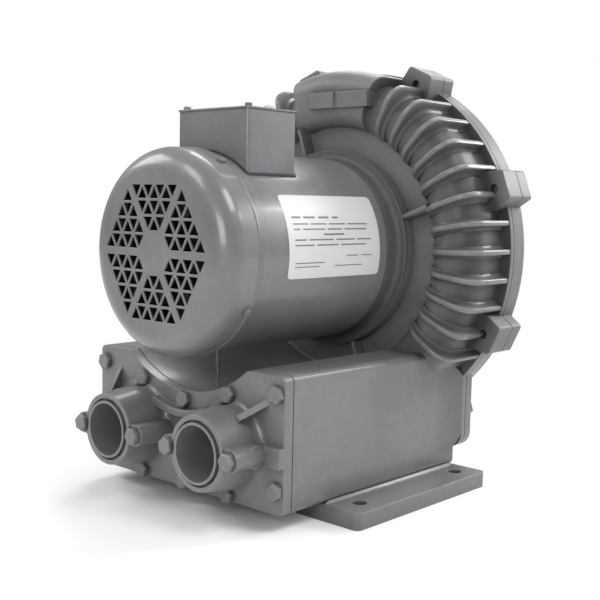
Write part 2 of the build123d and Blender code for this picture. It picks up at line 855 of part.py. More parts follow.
# Bolts of the manifold cover and of the port lugs
with BuildPart() as manifold_bolts:
    manifold_bolt = hex_bolt(bolt_radius, plate_thickness + gasket_thickness + bolt_grip)
    for x, z in manifold_bolt_places:
        with Locations(seat(x, plate_front_y, z)):
            add(manifold_bolt)
manifold_bolts.part.label = "manifold_bolts"
export_step(manifold_bolts.part, "parts/manifold_bolts.step")

with BuildPart() as port_bolts:
    port_bolt = hex_bolt(bolt_radius, port_bolt_length - 2)
    for side in (-1, 1):
        for lug_side in (-1, 1):
            with Locations(seat(side * port_x + lug_side * port_bolt_offset, port_lug_front_y, port_z)):
                add(port_bolt)
port_bolts.part.label = "port_bolts"
export_step(port_bolts.part, "parts/port_bolts.step")

# Port tubes and the foam that lines the two chambers
tube_back_y = box_front_y + tube_end_inside
with BuildPart() as inlet_tube:
    add(bar(-port_x, port_z, tube_front_y, tube_back_y, tube_radius, tube_radius - tube_wall))
inlet_tube.part.label = "inlet_tube"
export_step(inlet_tube.part, "parts/inlet_tube.step")

with BuildPart() as outlet_tube:
    add(bar(port_x, port_z, tube_front_y, tube_back_y, tube_radius, tube_radius - tube_wall))
outlet_tube.part.label = "outlet_tube"
export_step(outlet_tube.part, "parts/outlet_tube.step")

foam_z = foot_thickness + wall + foam_gap + foam_radius
foam_front_y = box_front_y + box_boss_length + foam_gap
with BuildPart() as inlet_muffler_foam:
    add(bar(-port_x, foam_z, foam_front_y, foam_front_y + foam_length, foam_radius, foam_bore_radius))
inlet_muffler_foam.part.label = "inlet_muffler_foam"
export_step(inlet_muffler_foam.part, "parts/inlet_muffler_foam.step")

with BuildPart() as outlet_muffler_foam:
    add(bar(port_x, foam_z, foam_front_y, foam_front_y + foam_length, foam_radius, foam_bore_radius))
outlet_muffler_foam.part.label = "outlet_muffler_foam"
export_step(outlet_muffler_foam.part, "parts/outlet_muffler_foam.step")

# Motor shell
with BuildPart() as motor_frame:
    add(tube(shell_front_y, shell_back_y, shell_radius, shell_radius - shell_wall))
    with BuildSketch(Plane.XY.offset(shaft_height)):
        with Locations((lead_x, lead_y)):
            Circle(lead_hole_radius)
    extrude(amount=shell_radius + 1, mode=Mode.SUBTRACT)
    for side in (-1, 1):
        with Locations(radial_seat(shell_radius - shell_wall, 90, lead_y + side * box_screw_spread)):
            Cylinder(lid_screw_radius + press_gap, cutter_reach * shell_wall, mode=Mode.SUBTRACT)
motor_frame.part.label = "motor_frame"
export_step(motor_frame.part, "parts/motor_frame.step")

# Bell at the fan end: rim, spigot in the shell, web and bearing boss
spigot_radius = shell_radius - shell_wall - press_gap
spigot_back_y = shell_front_y + spigot_length
bell_web_back_y = bell_web_front_y + bell_web
fan_bearing_back_y = fan_bearing_y + fan_bearing_width
with BuildPart() as fan_end_bell:
    add(tube(bell_front_y, bell_web_front_y, shell_radius, shell_radius - bell_rim_wall))
    add(tube(bell_web_front_y, bell_web_back_y, shell_radius))
    add(tube(bell_web_back_y, shell_front_y, shell_radius, spigot_radius - spigot_wall))
    add(tube(shell_front_y, spigot_back_y, spigot_radius, spigot_radius - spigot_wall))
    add(tube(bell_web_back_y, fan_bearing_back_y, bell_boss_radius))
    for step in range(4):
        x, z = polar(through_bolt_circle, web_angle + quarter_turn * step)
        add(bar(x, z + shaft_height, bell_web_back_y, spigot_back_y, through_boss_radius))
    add(tube(spring_front_y, fan_bearing_back_y, fan_bearing_outer_radius + press_gap), mode=Mode.SUBTRACT)
    add(tube(bell_web_front_y, spring_front_y, fan_journal_radius + shaft_gap), mode=Mode.SUBTRACT)
    for step in range(4):
        x, z = polar(through_bolt_circle, web_angle + quarter_turn * step)
        add(
            bar(x, z + shaft_height, bell_web_front_y, spigot_back_y, through_bolt_hole_radius),
            mode=Mode.SUBTRACT,
        )
        with Locations(radial_seat(shell_radius, cover_screw_angle + quarter_turn * step, cover_screw_y)):
            Cylinder(cover_screw_radius + press_gap, cutter_reach * bell_rim_wall, mode=Mode.SUBTRACT)
fan_end_bell.part.label = "fan_end_bell"
export_step(fan_end_bell.part, "parts/fan_end_bell.step")

# Bell at the drive end: spigot, body, bearing boss, seat flange and pilot
drive_body_radius = shell_radius - drive_bell_step
drive_bearing_back_y = drive_bearing_y + drive_bearing_width
with BuildPart() as drive_end_bell:
    add(tube(shell_back_y - spigot_length, shell_back_y, spigot_radius, spigot_radius - spigot_wall))
    add(tube(shell_back_y, seat_flange_front_y, drive_body_radius, spigot_radius - spigot_wall))
    add(tube(seat_flange_front_y, bell_back_y, seat_radius))
    add(tube(bell_back_y, bell_back_y + pilot_depth, pilot_radius))
    add(tube(drive_boss_front_y, seat_flange_front_y, drive_boss_radius))
    for step in range(4):
        x, z = polar(through_bolt_circle, web_angle + quarter_turn * step)
        add(bar(x, z + shaft_height, shell_back_y - spigot_length, seat_flange_front_y, through_boss_radius))
    add(
        tube(drive_boss_front_y, drive_bearing_back_y, drive_bearing_outer_radius + press_gap),
        mode=Mode.SUBTRACT,
    )
    add(
        tube(drive_bearing_back_y, bell_back_y + pilot_depth, drive_journal_radius + shaft_gap),
        mode=Mode.SUBTRACT,
    )
    for step in range(4):
        x, z = polar(through_bolt_circle, web_angle + quarter_turn * step)
        add(
            bar(
                x,
                z + shaft_height,
                shell_back_y - spigot_length,
                through_bolt_end_y + 1,
                through_bolt_radius + press_gap,
            ),
            mode=Mode.SUBTRACT,
        )
        x, z = polar(motor_bolt_circle, motor_bolt_angle + quarter_turn * step)
        add(
            bar(x, z + shaft_height, relief_y - motor_bolt_length - 1, bell_back_y, bolt_radius + press_gap),
            mode=Mode.SUBTRACT,
        )
drive_end_bell.part.label = "drive_end_bell"
export_step(drive_end_bell.part, "parts/drive_end_bell.step")

# Bolts from the housing into the drive end bell, and the long bolts that clamp the motor
with BuildPart() as motor_mount_bolts:
    motor_bolt = hex_bolt(bolt_radius, motor_bolt_length)
    for step in range(4):
        angle = motor_bolt_angle + quarter_turn * step
        with Locations(seat_polar(motor_bolt_circle, angle, relief_y, toward_front=False)):
            add(motor_bolt)
motor_mount_bolts.part.label = "motor_mount_bolts"
export_step(motor_mount_bolts.part, "parts/motor_mount_bolts.step")

with BuildPart() as through_bolts:
    through_bolt = hex_bolt(
        through_bolt_radius, through_bolt_end_y - bell_web_front_y, through_bolt_flats, through_bolt_head
    )
    for step in range(4):
        with Locations(seat_polar(through_bolt_circle, web_angle + quarter_turn * step, bell_web_front_y)):
            add(through_bolt)
through_bolts.part.label = "through_bolts"
export_step(through_bolts.part, "parts/through_bolts.step")

# Stator with holes for the long bolts, and its windings
with BuildPart() as stator_core:
    add(tube(stator_front_y, stator_back_y, spigot_radius, stator_bore_radius))
    for step in range(4):
        x, z = polar(through_bolt_circle, web_angle + quarter_turn * step)
        add(
            bar(x, z + shaft_height, stator_front_y, stator_back_y, through_bolt_hole_radius),
            mode=Mode.SUBTRACT,
        )
stator_core.part.label = "stator_core"
export_step(stator_core.part, "parts/stator_core.step")

with BuildPart() as stator_windings:
    for front_y in (stator_front_y - winding_overhang, stator_back_y):
        add(tube(front_y, front_y + winding_overhang, winding_outer_radius, winding_inner_radius))
stator_windings.part.label = "stator_windings"
export_step(stator_windings.part, "parts/stator_windings.step")

# Rotor core and its end rings
with BuildPart() as rotor_core:
    add(tube(stator_front_y, stator_back_y, stator_bore_radius - air_gap, core_seat_radius + press_gap))
rotor_core.part.label = "rotor_core"
export_step(rotor_core.part, "parts/rotor_core.step")

with BuildPart() as rotor_end_rings:
    for front_y in (stator_front_y - end_ring_length, stator_back_y):
        add(tube(front_y, front_y + end_ring_length, end_ring_outer_radius, end_ring_inner_radius))
rotor_end_rings.part.label = "rotor_end_rings"
export_step(rotor_end_rings.part, "parts/rotor_end_rings.step")


def race(front_y, width, outer, inner, pitch, ball):
    """Bearing ring with its ball groove."""
    with BuildPart() as ring:
        add(tube(front_y, front_y + width, outer, inner))
        with BuildSketch(radial_plane(90)):
            with Locations((front_y + width / 2, pitch)):
                Circle(ball + ball_gap)
        revolve(axis=shaft_axis, mode=Mode.SUBTRACT)
    return ring.part


def ball_set(middle_y, pitch, ball, count):
    """Balls on their pitch circle."""
    with BuildPart() as balls:
        for step in range(count):
            x, z = polar(pitch, 360 / count * step)
            with Locations((x, middle_y, z + shaft_height)):
                Sphere(ball)
    return balls.part


def cage(middle_y, pitch, ball, count):
    """Cage ring with a round pocket for each ball."""
    half = ball + cage_margin
    with BuildPart() as ring:
        add(tube(middle_y - half, middle_y + half, pitch + cage_thickness / 2, pitch - cage_thickness / 2))
        for step in range(count):
            with Locations(radial_seat(pitch, 360 / count * step, middle_y)):
                Cylinder(ball + ball_gap, cutter_reach * cage_thickness, mode=Mode.SUBTRACT)
    return ring.part


# Ball bearing at the fan end
fan_pitch = (fan_journal_radius + fan_bearing_outer_radius) / 2
fan_middle_y = fan_bearing_y + fan_bearing_width / 2
with BuildPart() as fan_bearing_outer_ring:
    add(race(
        fan_bearing_y,
        fan_bearing_width,
        fan_bearing_outer_radius,
        fan_pitch + race_gap / 2,
        fan_pitch,
        fan_ball_radius,
    ))
fan_bearing_outer_ring.part.label = "fan_bearing_outer_ring"
export_step(fan_bearing_outer_ring.part, "parts/fan_bearing_outer_ring.step")

with BuildPart() as fan_bearing_inner_ring:
    add(race(
        fan_bearing_y,
        fan_bearing_width,
        fan_pitch - race_gap / 2,
        fan_journal_radius + press_gap,
        fan_pitch,
        fan_ball_radius,
    ))
fan_bearing_inner_ring.part.label = "fan_bearing_inner_ring"
export_step(fan_bearing_inner_ring.part, "parts/fan_bearing_inner_ring.step")

with BuildPart() as fan_bearing_balls:
    add(ball_set(fan_middle_y, fan_pitch, fan_ball_radius, fan_ball_count))
fan_bearing_balls.part.label = "fan_bearing_balls"
export_step(fan_bearing_balls.part, "parts/fan_bearing_balls.step")

with BuildPart() as fan_bearing_cage:
    add(cage(fan_middle_y, fan_pitch, fan_ball_radius, fan_ball_count))
fan_bearing_cage.part.label = "fan_bearing_cage"
export_step(fan_bearing_cage.part, "parts/fan_bearing_cage.step")

# Ball bearing at the drive end
drive_pitch = (drive_journal_radius + drive_bearing_outer_radius) / 2
drive_middle_y = drive_bearing_y + drive_bearing_width / 2
with BuildPart() as drive_bearing_outer_ring:
    add(race(
        drive_bearing_y,
        drive_bearing_width,
        drive_bearing_outer_radius,
        drive_pitch + race_gap / 2,
        drive_pitch,
        drive_ball_radius,
    ))
drive_bearing_outer_ring.part.label = "drive_bearing_outer_ring"
export_step(drive_bearing_outer_ring.part, "parts/drive_bearing_outer_ring.step")

with BuildPart() as drive_bearing_inner_ring:
    add(race(
        drive_bearing_y,
        drive_bearing_width,
        drive_pitch - race_gap / 2,
        drive_journal_radius + press_gap,
        drive_pitch,
        drive_ball_radius,
    ))
drive_bearing_inner_ring.part.label = "drive_bearing_inner_ring"
export_step(drive_bearing_inner_ring.part, "parts/drive_bearing_inner_ring.step")

with BuildPart() as drive_bearing_balls:
    add(ball_set(drive_middle_y, drive_pitch, drive_ball_radius, drive_ball_count))
drive_bearing_balls.part.label = "drive_bearing_balls"
export_step(drive_bearing_balls.part, "parts/drive_bearing_balls.step")

with BuildPart() as drive_bearing_cage:
    add(cage(drive_middle_y, drive_pitch, drive_ball_radius, drive_ball_count))
drive_bearing_cage.part.label = "drive_bearing_cage"
export_step(drive_bearing_cage.part, "parts/drive_bearing_cage.step")

# Preload spring behind the fan bearing, and the seal at the housing
with BuildPart() as wave_spring:
    add(tube(spring_front_y, fan_bearing_y, fan_bearing_outer_radius - 10 * press_gap, spring_inner_radius))
wave_spring.part.label = "wave_spring"
export_step(wave_spring.part, "parts/wave_spring.step")

with BuildPart() as shaft_seal:
    add(tube(seal_y, seal_y + seal_width, seal_radius, drive_journal_radius + running_gap))
shaft_seal.part.label = "shaft_seal"
export_step(shaft_seal.part, "parts/shaft_seal.step")

# Stepped shaft with its keyway, tapped end and clip groove
clip_front_y = fan_hub_front_y - clip_thickness
keyway_y = impeller_front_y + keyway_start
key_bottom = impeller_journal_radius - key_size / 2
with BuildPart() as motor_shaft:
    add(tube(shaft_front_y, fan_bearing_back_y, fan_journal_radius))
    add(tube(fan_bearing_back_y, fan_bearing_back_y + fan_shoulder_length, fan_shoulder_radius))
    add(tube(fan_bearing_back_y + fan_shoulder_length, drive_bearing_y, core_seat_radius))
    add(tube(drive_bearing_y, impeller_front_y, drive_journal_radius))
    add(tube(impeller_front_y, shaft_back_y, impeller_journal_radius))
    add(
        tube(clip_front_y, fan_hub_front_y, fan_journal_radius + 1, fan_journal_radius - clip_groove_depth),
        mode=Mode.SUBTRACT,
    )
    add(tube(shaft_back_y - impeller_tap_depth, shaft_back_y, bolt_radius + press_gap), mode=Mode.SUBTRACT)
    with Locations((0, keyway_y, shaft_height + key_bottom)):
        Box(
            key_size + 2 * press_gap,
            key_length,
            key_size,
            align=(Align.CENTER, Align.MIN, Align.MIN),
            mode=Mode.SUBTRACT,
        )
motor_shaft.part.label = "motor_shaft"
export_step(motor_shaft.part, "parts/motor_shaft.step")

# Impeller: hub, disc, root ring, radial vanes on both sides of a middle web
with BuildPart() as impeller:
    with BuildSketch(shaft_plane(impeller_back_y)):
        vane_length = impeller_tip_radius - impeller_root_radius + 1
        with PolarLocations(impeller_tip_radius - vane_length / 2, vane_count):
            Rectangle(vane_length, vane_thickness)
        Circle(impeller_root_radius)
        Circle(relief_radius, mode=Mode.SUBTRACT)
        Circle(impeller_hub_radius)
    extrude(amount=impeller_width)
    add(tube(joint_y - impeller_disc / 2, joint_y + impeller_disc / 2, impeller_root_radius))
    add(tube(joint_y - vane_web / 2, joint_y + vane_web / 2, impeller_tip_radius))
    add(tube(impeller_front_y, impeller_back_y, impeller_journal_radius + press_gap), mode=Mode.SUBTRACT)
    with Locations((0, impeller_front_y, shaft_height)):
        Box(
            key_size + 2 * press_gap,
            impeller_width,
            key_bottom + key_size + press_gap,
            align=(Align.CENTER, Align.MIN, Align.MIN),
            mode=Mode.SUBTRACT,
        )
impeller.part.label = "impeller"
export_step(impeller.part, "parts/impeller.step")

with BuildPart() as impeller_key:
    with Locations((0, keyway_y, shaft_height + key_bottom)):
        Box(key_size, key_length, key_size, align=(Align.CENTER, Align.MIN, Align.MIN))
impeller_key.part.label = "impeller_key"
export_step(impeller_key.part, "parts/impeller_key.step")

with BuildPart() as impeller_washer:
    add(tube(impeller_back_y, washer_back_y, washer_radius, bolt_hole_radius))
impeller_washer.part.label = "impeller_washer"
export_step(impeller_washer.part, "parts/impeller_washer.step")

with BuildPart() as impeller_bolt:
    with Locations(seat(0, washer_back_y, shaft_height, toward_front=False)):
        add(hex_bolt(bolt_radius, impeller_bolt_length))
impeller_bolt.part.label = "impeller_bolt"
export_step(impeller_bolt.part, "parts/impeller_bolt.step")

# Cooling fan with straight blades, and the clip that holds it
with BuildPart() as cooling_fan:
    add(tube(fan_back_y - fan_disc, fan_back_y, fan_radius))
    add(tube(fan_hub_front_y, fan_back_y, fan_hub_radius))
    with BuildSketch(shaft_plane(fan_back_y - fan_disc)):
        with PolarLocations((fan_hub_radius + fan_radius - fan_blade_tip) / 2, fan_blade_count):
            Rectangle(fan_radius - fan_blade_tip - fan_hub_radius + 2, fan_blade_thickness)
    extrude(amount=fan_blade_depth)
    add(tube(fan_hub_front_y, fan_back_y, fan_journal_radius + press_gap), mode=Mode.SUBTRACT)
cooling_fan.part.label = "cooling_fan"
export_step(cooling_fan.part, "parts/cooling_fan.step")

with BuildPart() as fan_clip:
    add(tube(clip_front_y, fan_hub_front_y, clip_radius, fan_journal_radius - clip_groove_depth + press_gap))
fan_clip.part.label = "fan_clip"
export_step(fan_clip.part, "parts/fan_clip.step")

# Fan cover: domed cup with six sectors of triangular holes
with BuildPart() as fan_cover:
    with BuildSketch(radial_plane(90)):
        with BuildLine():
            side_line = Line(
                (fan_cover_back_y, fan_cover_radius),
                (fan_cover_front_y + fan_cover_dome, fan_cover_radius),
            )
            dome = TangentArc(
                side_line @ 1, (fan_cover_front_y, fan_cover_radius - fan_cover_dome), tangent=side_line % 1
            )
            Polyline(dome @ 1, (fan_cover_front_y, 0), (fan_cover_back_y, 0), side_line @ 0)
        make_face()
    revolve(axis=shaft_axis)
    inner_radius = fan_cover_radius - fan_cover_wall
    inner_front_y = fan_cover_front_y + fan_cover_wall
    inner_dome = fan_cover_dome - fan_cover_wall
    with BuildSketch(radial_plane(90)):
        with BuildLine():
            side_line = Line((fan_cover_back_y, inner_radius), (inner_front_y + inner_dome, inner_radius))
            dome = TangentArc(
                side_line @ 1, (inner_front_y, inner_radius - inner_dome), tangent=side_line % 1
            )
            Polyline(dome @ 1, (inner_front_y, 0), (fan_cover_back_y, 0), side_line @ 0)
        make_face()
    revolve(axis=shaft_axis, mode=Mode.SUBTRACT)
    # grille: rows of triangles in each sector, wider with every row
    cell_height = grille_cell * sqrt(3) / 2
    cell_inradius = grille_cell / (2 * sqrt(3))
    hole_radius = 2 * (cell_inradius - grille_web / 2)
    apex_offset = grille_spoke - grille_web
    with BuildSketch(shaft_plane(inner_front_y)):
        for sector in range(6):
            turn = 30 + 60 * sector
            for row in range(2, grille_rows + 1):
                inner_edge = apex_offset + (row - 1) * cell_height
                outward_u = inner_edge + cell_height - cell_inradius
                for step in range(row):
                    v = (step - (row - 1) / 2) * grille_cell
                    place = Location((0, 0, 0), (0, 0, turn)) * Location((outward_u, v, 0), (0, 0, 60))
                    with Locations(place):
                        RegularPolygon(hole_radius, 3)
                for step in range(row - 1):
                    v = (step - (row - 2) / 2) * grille_cell
                    place = Location((0, 0, 0), (0, 0, turn)) * Location((inner_edge + cell_inradius, v, 0))
                    with Locations(place):
                        RegularPolygon(hole_radius, 3)
    extrude(amount=2 * fan_cover_wall, mode=Mode.SUBTRACT)
    for step in range(4):
        with Locations(radial_seat(fan_cover_radius, cover_screw_angle + quarter_turn * step, cover_screw_y)):
            Cylinder(cover_screw_radius + screw_gap, cutter_reach * fan_cover_wall, mode=Mode.SUBTRACT)
fan_cover.part.label = "fan_cover"
export_step(fan_cover.part, "parts/fan_cover.step")

with BuildPart() as fan_cover_screws:
    cover_screw_length = fan_cover_radius - shell_radius + bell_rim_wall
    cover_screw = hex_bolt(cover_screw_radius, cover_screw_length, cover_screw_flats, cover_screw_head)
    for step in range(4):
        with Locations(radial_seat(fan_cover_radius, cover_screw_angle + quarter_turn * step, cover_screw_y)):
            add(cover_screw)
fan_cover_screws.part.label = "fan_cover_screws"
export_step(fan_cover_screws.part, "parts/fan_cover_screws.step")


def conduit_outline(grow=0.0):
    """Plan of the conduit box, grown or shrunk all round."""
    width = conduit_right_x - conduit_left_x + 2 * grow
    depth = conduit_back_y - conduit_front_y + 2 * grow
    with BuildSketch() as outline:
        with Locations(((conduit_left_x + conduit_right_x) / 2, (conduit_front_y + conduit_back_y) / 2)):
            RectangleRounded(width, depth, conduit_corner + min(grow, 0))
    return outline.sketch


lid_screw_places = [
    (conduit_left_x + screw_inset, conduit_front_y + screw_inset),
    (conduit_right_x - screw_inset, conduit_front_y + screw_inset),
]
saddle_radius = shell_radius + gasket_thickness
conduit_floor_radius = saddle_radius + conduit_wall
conduit_height = conduit_top_z - shaft_height

# Room inside the conduit box, round the posts of the lid screws
with BuildPart() as conduit_space:
    with BuildSketch(Plane.XY.offset(shaft_height)):
        add(conduit_outline(-conduit_wall))
        with Locations(*lid_screw_places):
            Circle(post_radius, mode=Mode.SUBTRACT)
    extrude(amount=conduit_height)
    add(tube(conduit_front_y, conduit_back_y, conduit_floor_radius), mode=Mode.SUBTRACT)

# Conduit box saddled on the shell, open at the top
with BuildPart() as conduit_box:
    with BuildSketch(Plane.XY.offset(shaft_height)):
        add(conduit_outline())
    extrude(amount=conduit_height)
    add(conduit_space.part, mode=Mode.SUBTRACT)
    add(tube(conduit_front_y, conduit_back_y, saddle_radius), mode=Mode.SUBTRACT)
    with BuildSketch(Plane.XY.offset(shaft_height)):
        with Locations((lead_x, lead_y)):
            Circle(lead_hole_radius)
    extrude(amount=conduit_height, mode=Mode.SUBTRACT)
    with BuildSketch(Plane.YZ.offset(conduit_left_x - 1)):
        with Locations((lead_y, conduit_hole_z)):
            Circle(conduit_hole_radius)
    extrude(amount=conduit_wall + 2, mode=Mode.SUBTRACT)
    with BuildSketch(Plane.XY.offset(conduit_top_z)):
        with Locations(*lid_screw_places):
            Circle(lid_screw_radius + press_gap)
    extrude(amount=-lid_screw_length, mode=Mode.SUBTRACT)
    for side in (-1, 1):
        with Locations(radial_seat(saddle_radius, 90, lead_y + side * box_screw_spread)):
            Cylinder(lid_screw_radius + screw_gap, cutter_reach * conduit_wall, mode=Mode.SUBTRACT)
conduit_box.part.label = "conduit_box"
export_step(conduit_box.part, "parts/conduit_box.step")

with BuildPart() as conduit_box_gasket:
    with BuildSketch(Plane.XY.offset(shaft_height)):
        add(conduit_outline(conduit_lip))
        with Locations((lead_x, lead_y)):
            Circle(lead_hole_radius, mode=Mode.SUBTRACT)
        with Locations((0, lead_y - box_screw_spread), (0, lead_y + box_screw_spread)):
            Circle(lid_screw_radius + screw_gap, mode=Mode.SUBTRACT)
    extrude(amount=conduit_height)
    add(
        tube(conduit_front_y - 2, conduit_back_y + 2, saddle_radius - press_gap, shell_radius + press_gap),
        mode=Mode.INTERSECT,
    )
conduit_box_gasket.part.label = "conduit_box_gasket"
export_step(conduit_box_gasket.part, "parts/conduit_box_gasket.step")

with BuildPart() as conduit_box_lid:
    with BuildSketch(Plane.XY.offset(conduit_top_z)):
        add(conduit_outline(lid_overhang))
        with Locations(*lid_screw_places):
            Circle(lid_screw_radius + screw_gap, mode=Mode.SUBTRACT)
    extrude(amount=lid_thickness)
conduit_box_lid.part.label = "conduit_box_lid"
export_step(conduit_box_lid.part, "parts/conduit_box_lid.step")

with BuildPart() as conduit_lid_screws:
    lid_screw = hex_bolt(lid_screw_radius, lid_screw_length, lid_screw_flats, lid_screw_head)
    for x, y in lid_screw_places:
        with Locations((x, y, conduit_top_z + lid_thickness)):
            add(lid_screw)
conduit_lid_screws.part.label = "conduit_lid_screws"
export_step(conduit_lid_screws.part, "parts/conduit_lid_screws.step")

with BuildPart() as conduit_box_screws:
    box_screw = hex_bolt(lid_screw_radius, box_screw_reach, lid_screw_flats, lid_screw_head)
    for side in (-1, 1):
        with Locations(radial_seat(conduit_floor_radius, 90, lead_y + side * box_screw_spread)):
            add(box_screw)
conduit_box_screws.part.label = "conduit_box_screws"
export_step(conduit_box_screws.part, "parts/conduit_box_screws.step")

# Terminal block on the curved floor
with BuildPart() as terminal_block:
    with BuildSketch(Plane.XY.offset(shaft_height)):
        with Locations(((terminal_left_x + terminal_right_x) / 2, lead_y)):
            Rectangle(terminal_right_x - terminal_left_x, terminal_length)
    extrude(amount=terminal_top_z - shaft_height)
    add(tube(conduit_front_y, conduit_back_y, conduit_floor_radius + press_gap), mode=Mode.SUBTRACT)
    with BuildSketch(Plane.XY.offset(terminal_top_z)):
        with Locations(((terminal_left_x + terminal_right_x) / 2, lead_y)):
            with GridLocations(0, terminal_length / terminal_screws, 1, terminal_screws):
                Circle(terminal_groove)
    extrude(amount=-terminal_groove, mode=Mode.SUBTRACT)
terminal_block.part.label = "terminal_block"
export_step(terminal_block.part, "parts/terminal_block.step")

# Ground screw in the cradle
ground_seat_radius = cradle_radius - 2 * press_gap
with BuildPart() as ground_screw:
    with Locations(radial_seat(ground_seat_radius, ground_screw_angle, ground_screw_y, outward=False)):
        add(hex_bolt(ground_screw_radius, ground_screw_length, through_bolt_flats, through_bolt_head))
ground_screw.part.label = "ground_screw"
export_step(ground_screw.part, "parts/ground_screw.step")
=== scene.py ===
"""Looks of the side channel blower: painted castings, ribs, bolts, blank rating plate and a plain studio.

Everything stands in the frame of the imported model: +X right seen from the ports, +Y back along the motor shaft,
+Z up, with the floor at zero. Blender works in metres. The sizes of the pieces are written in millimetres, and
the angles about the shaft in degrees from +X toward +Z. A station is a place along Y.
"""

import json
import logging
import math
from dataclasses import dataclass, field
from enum import Enum
from typing import Iterable, Sequence

import bmesh
import bpy
from mathutils import Matrix, Vector

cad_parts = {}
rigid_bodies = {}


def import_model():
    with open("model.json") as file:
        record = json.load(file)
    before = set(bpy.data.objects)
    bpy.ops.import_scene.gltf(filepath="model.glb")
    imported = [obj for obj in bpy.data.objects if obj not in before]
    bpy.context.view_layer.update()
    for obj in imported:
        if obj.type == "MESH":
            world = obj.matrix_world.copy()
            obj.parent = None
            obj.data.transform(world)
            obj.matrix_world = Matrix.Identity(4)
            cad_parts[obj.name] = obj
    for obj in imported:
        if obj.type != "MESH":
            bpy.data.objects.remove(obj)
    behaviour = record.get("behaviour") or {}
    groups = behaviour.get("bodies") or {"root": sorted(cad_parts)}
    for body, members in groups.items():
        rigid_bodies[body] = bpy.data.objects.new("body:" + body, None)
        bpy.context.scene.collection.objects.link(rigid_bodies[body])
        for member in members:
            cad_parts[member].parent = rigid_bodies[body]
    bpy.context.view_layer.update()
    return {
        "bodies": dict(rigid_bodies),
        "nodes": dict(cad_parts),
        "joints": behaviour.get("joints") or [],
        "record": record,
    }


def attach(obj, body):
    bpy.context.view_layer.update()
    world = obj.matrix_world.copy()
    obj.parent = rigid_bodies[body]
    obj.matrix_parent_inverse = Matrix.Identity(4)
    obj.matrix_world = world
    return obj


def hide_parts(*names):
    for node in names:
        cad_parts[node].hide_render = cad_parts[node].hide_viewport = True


log = logging.getLogger("blower")

MM: float = 0.001
SHAFT_HEIGHT: float = 209.5                      # above the floor, in millimetres
SHAFT_Z: float = SHAFT_HEIGHT * MM
LUG_ANGLE: float = 20.2                          # of the first lug and of the first web, in degrees
FIXED_BODY: str = "blower_body"
SAME_PLACE: float = 1e-7                         # metres between corners that are one
PORE_SHARE: float = 0.35                         # of the pores in the height of a cast skin
LUMP_TONE: float = 0.25                          # of the lumps in its tone, where slow drift is the rest
TONE_SPREAD: tuple[float, float] = (-0.6, 1.6)   # widens the tone, which noise keeps near its middle


class SocketKind(Enum):
    """Kinds of socket used on the node groups."""

    FLOAT = "NodeSocketFloat"
    INTEGER = "NodeSocketInt"
    VECTOR = "NodeSocketVector"
    GEOMETRY = "NodeSocketGeometry"
    MATERIAL = "NodeSocketMaterial"


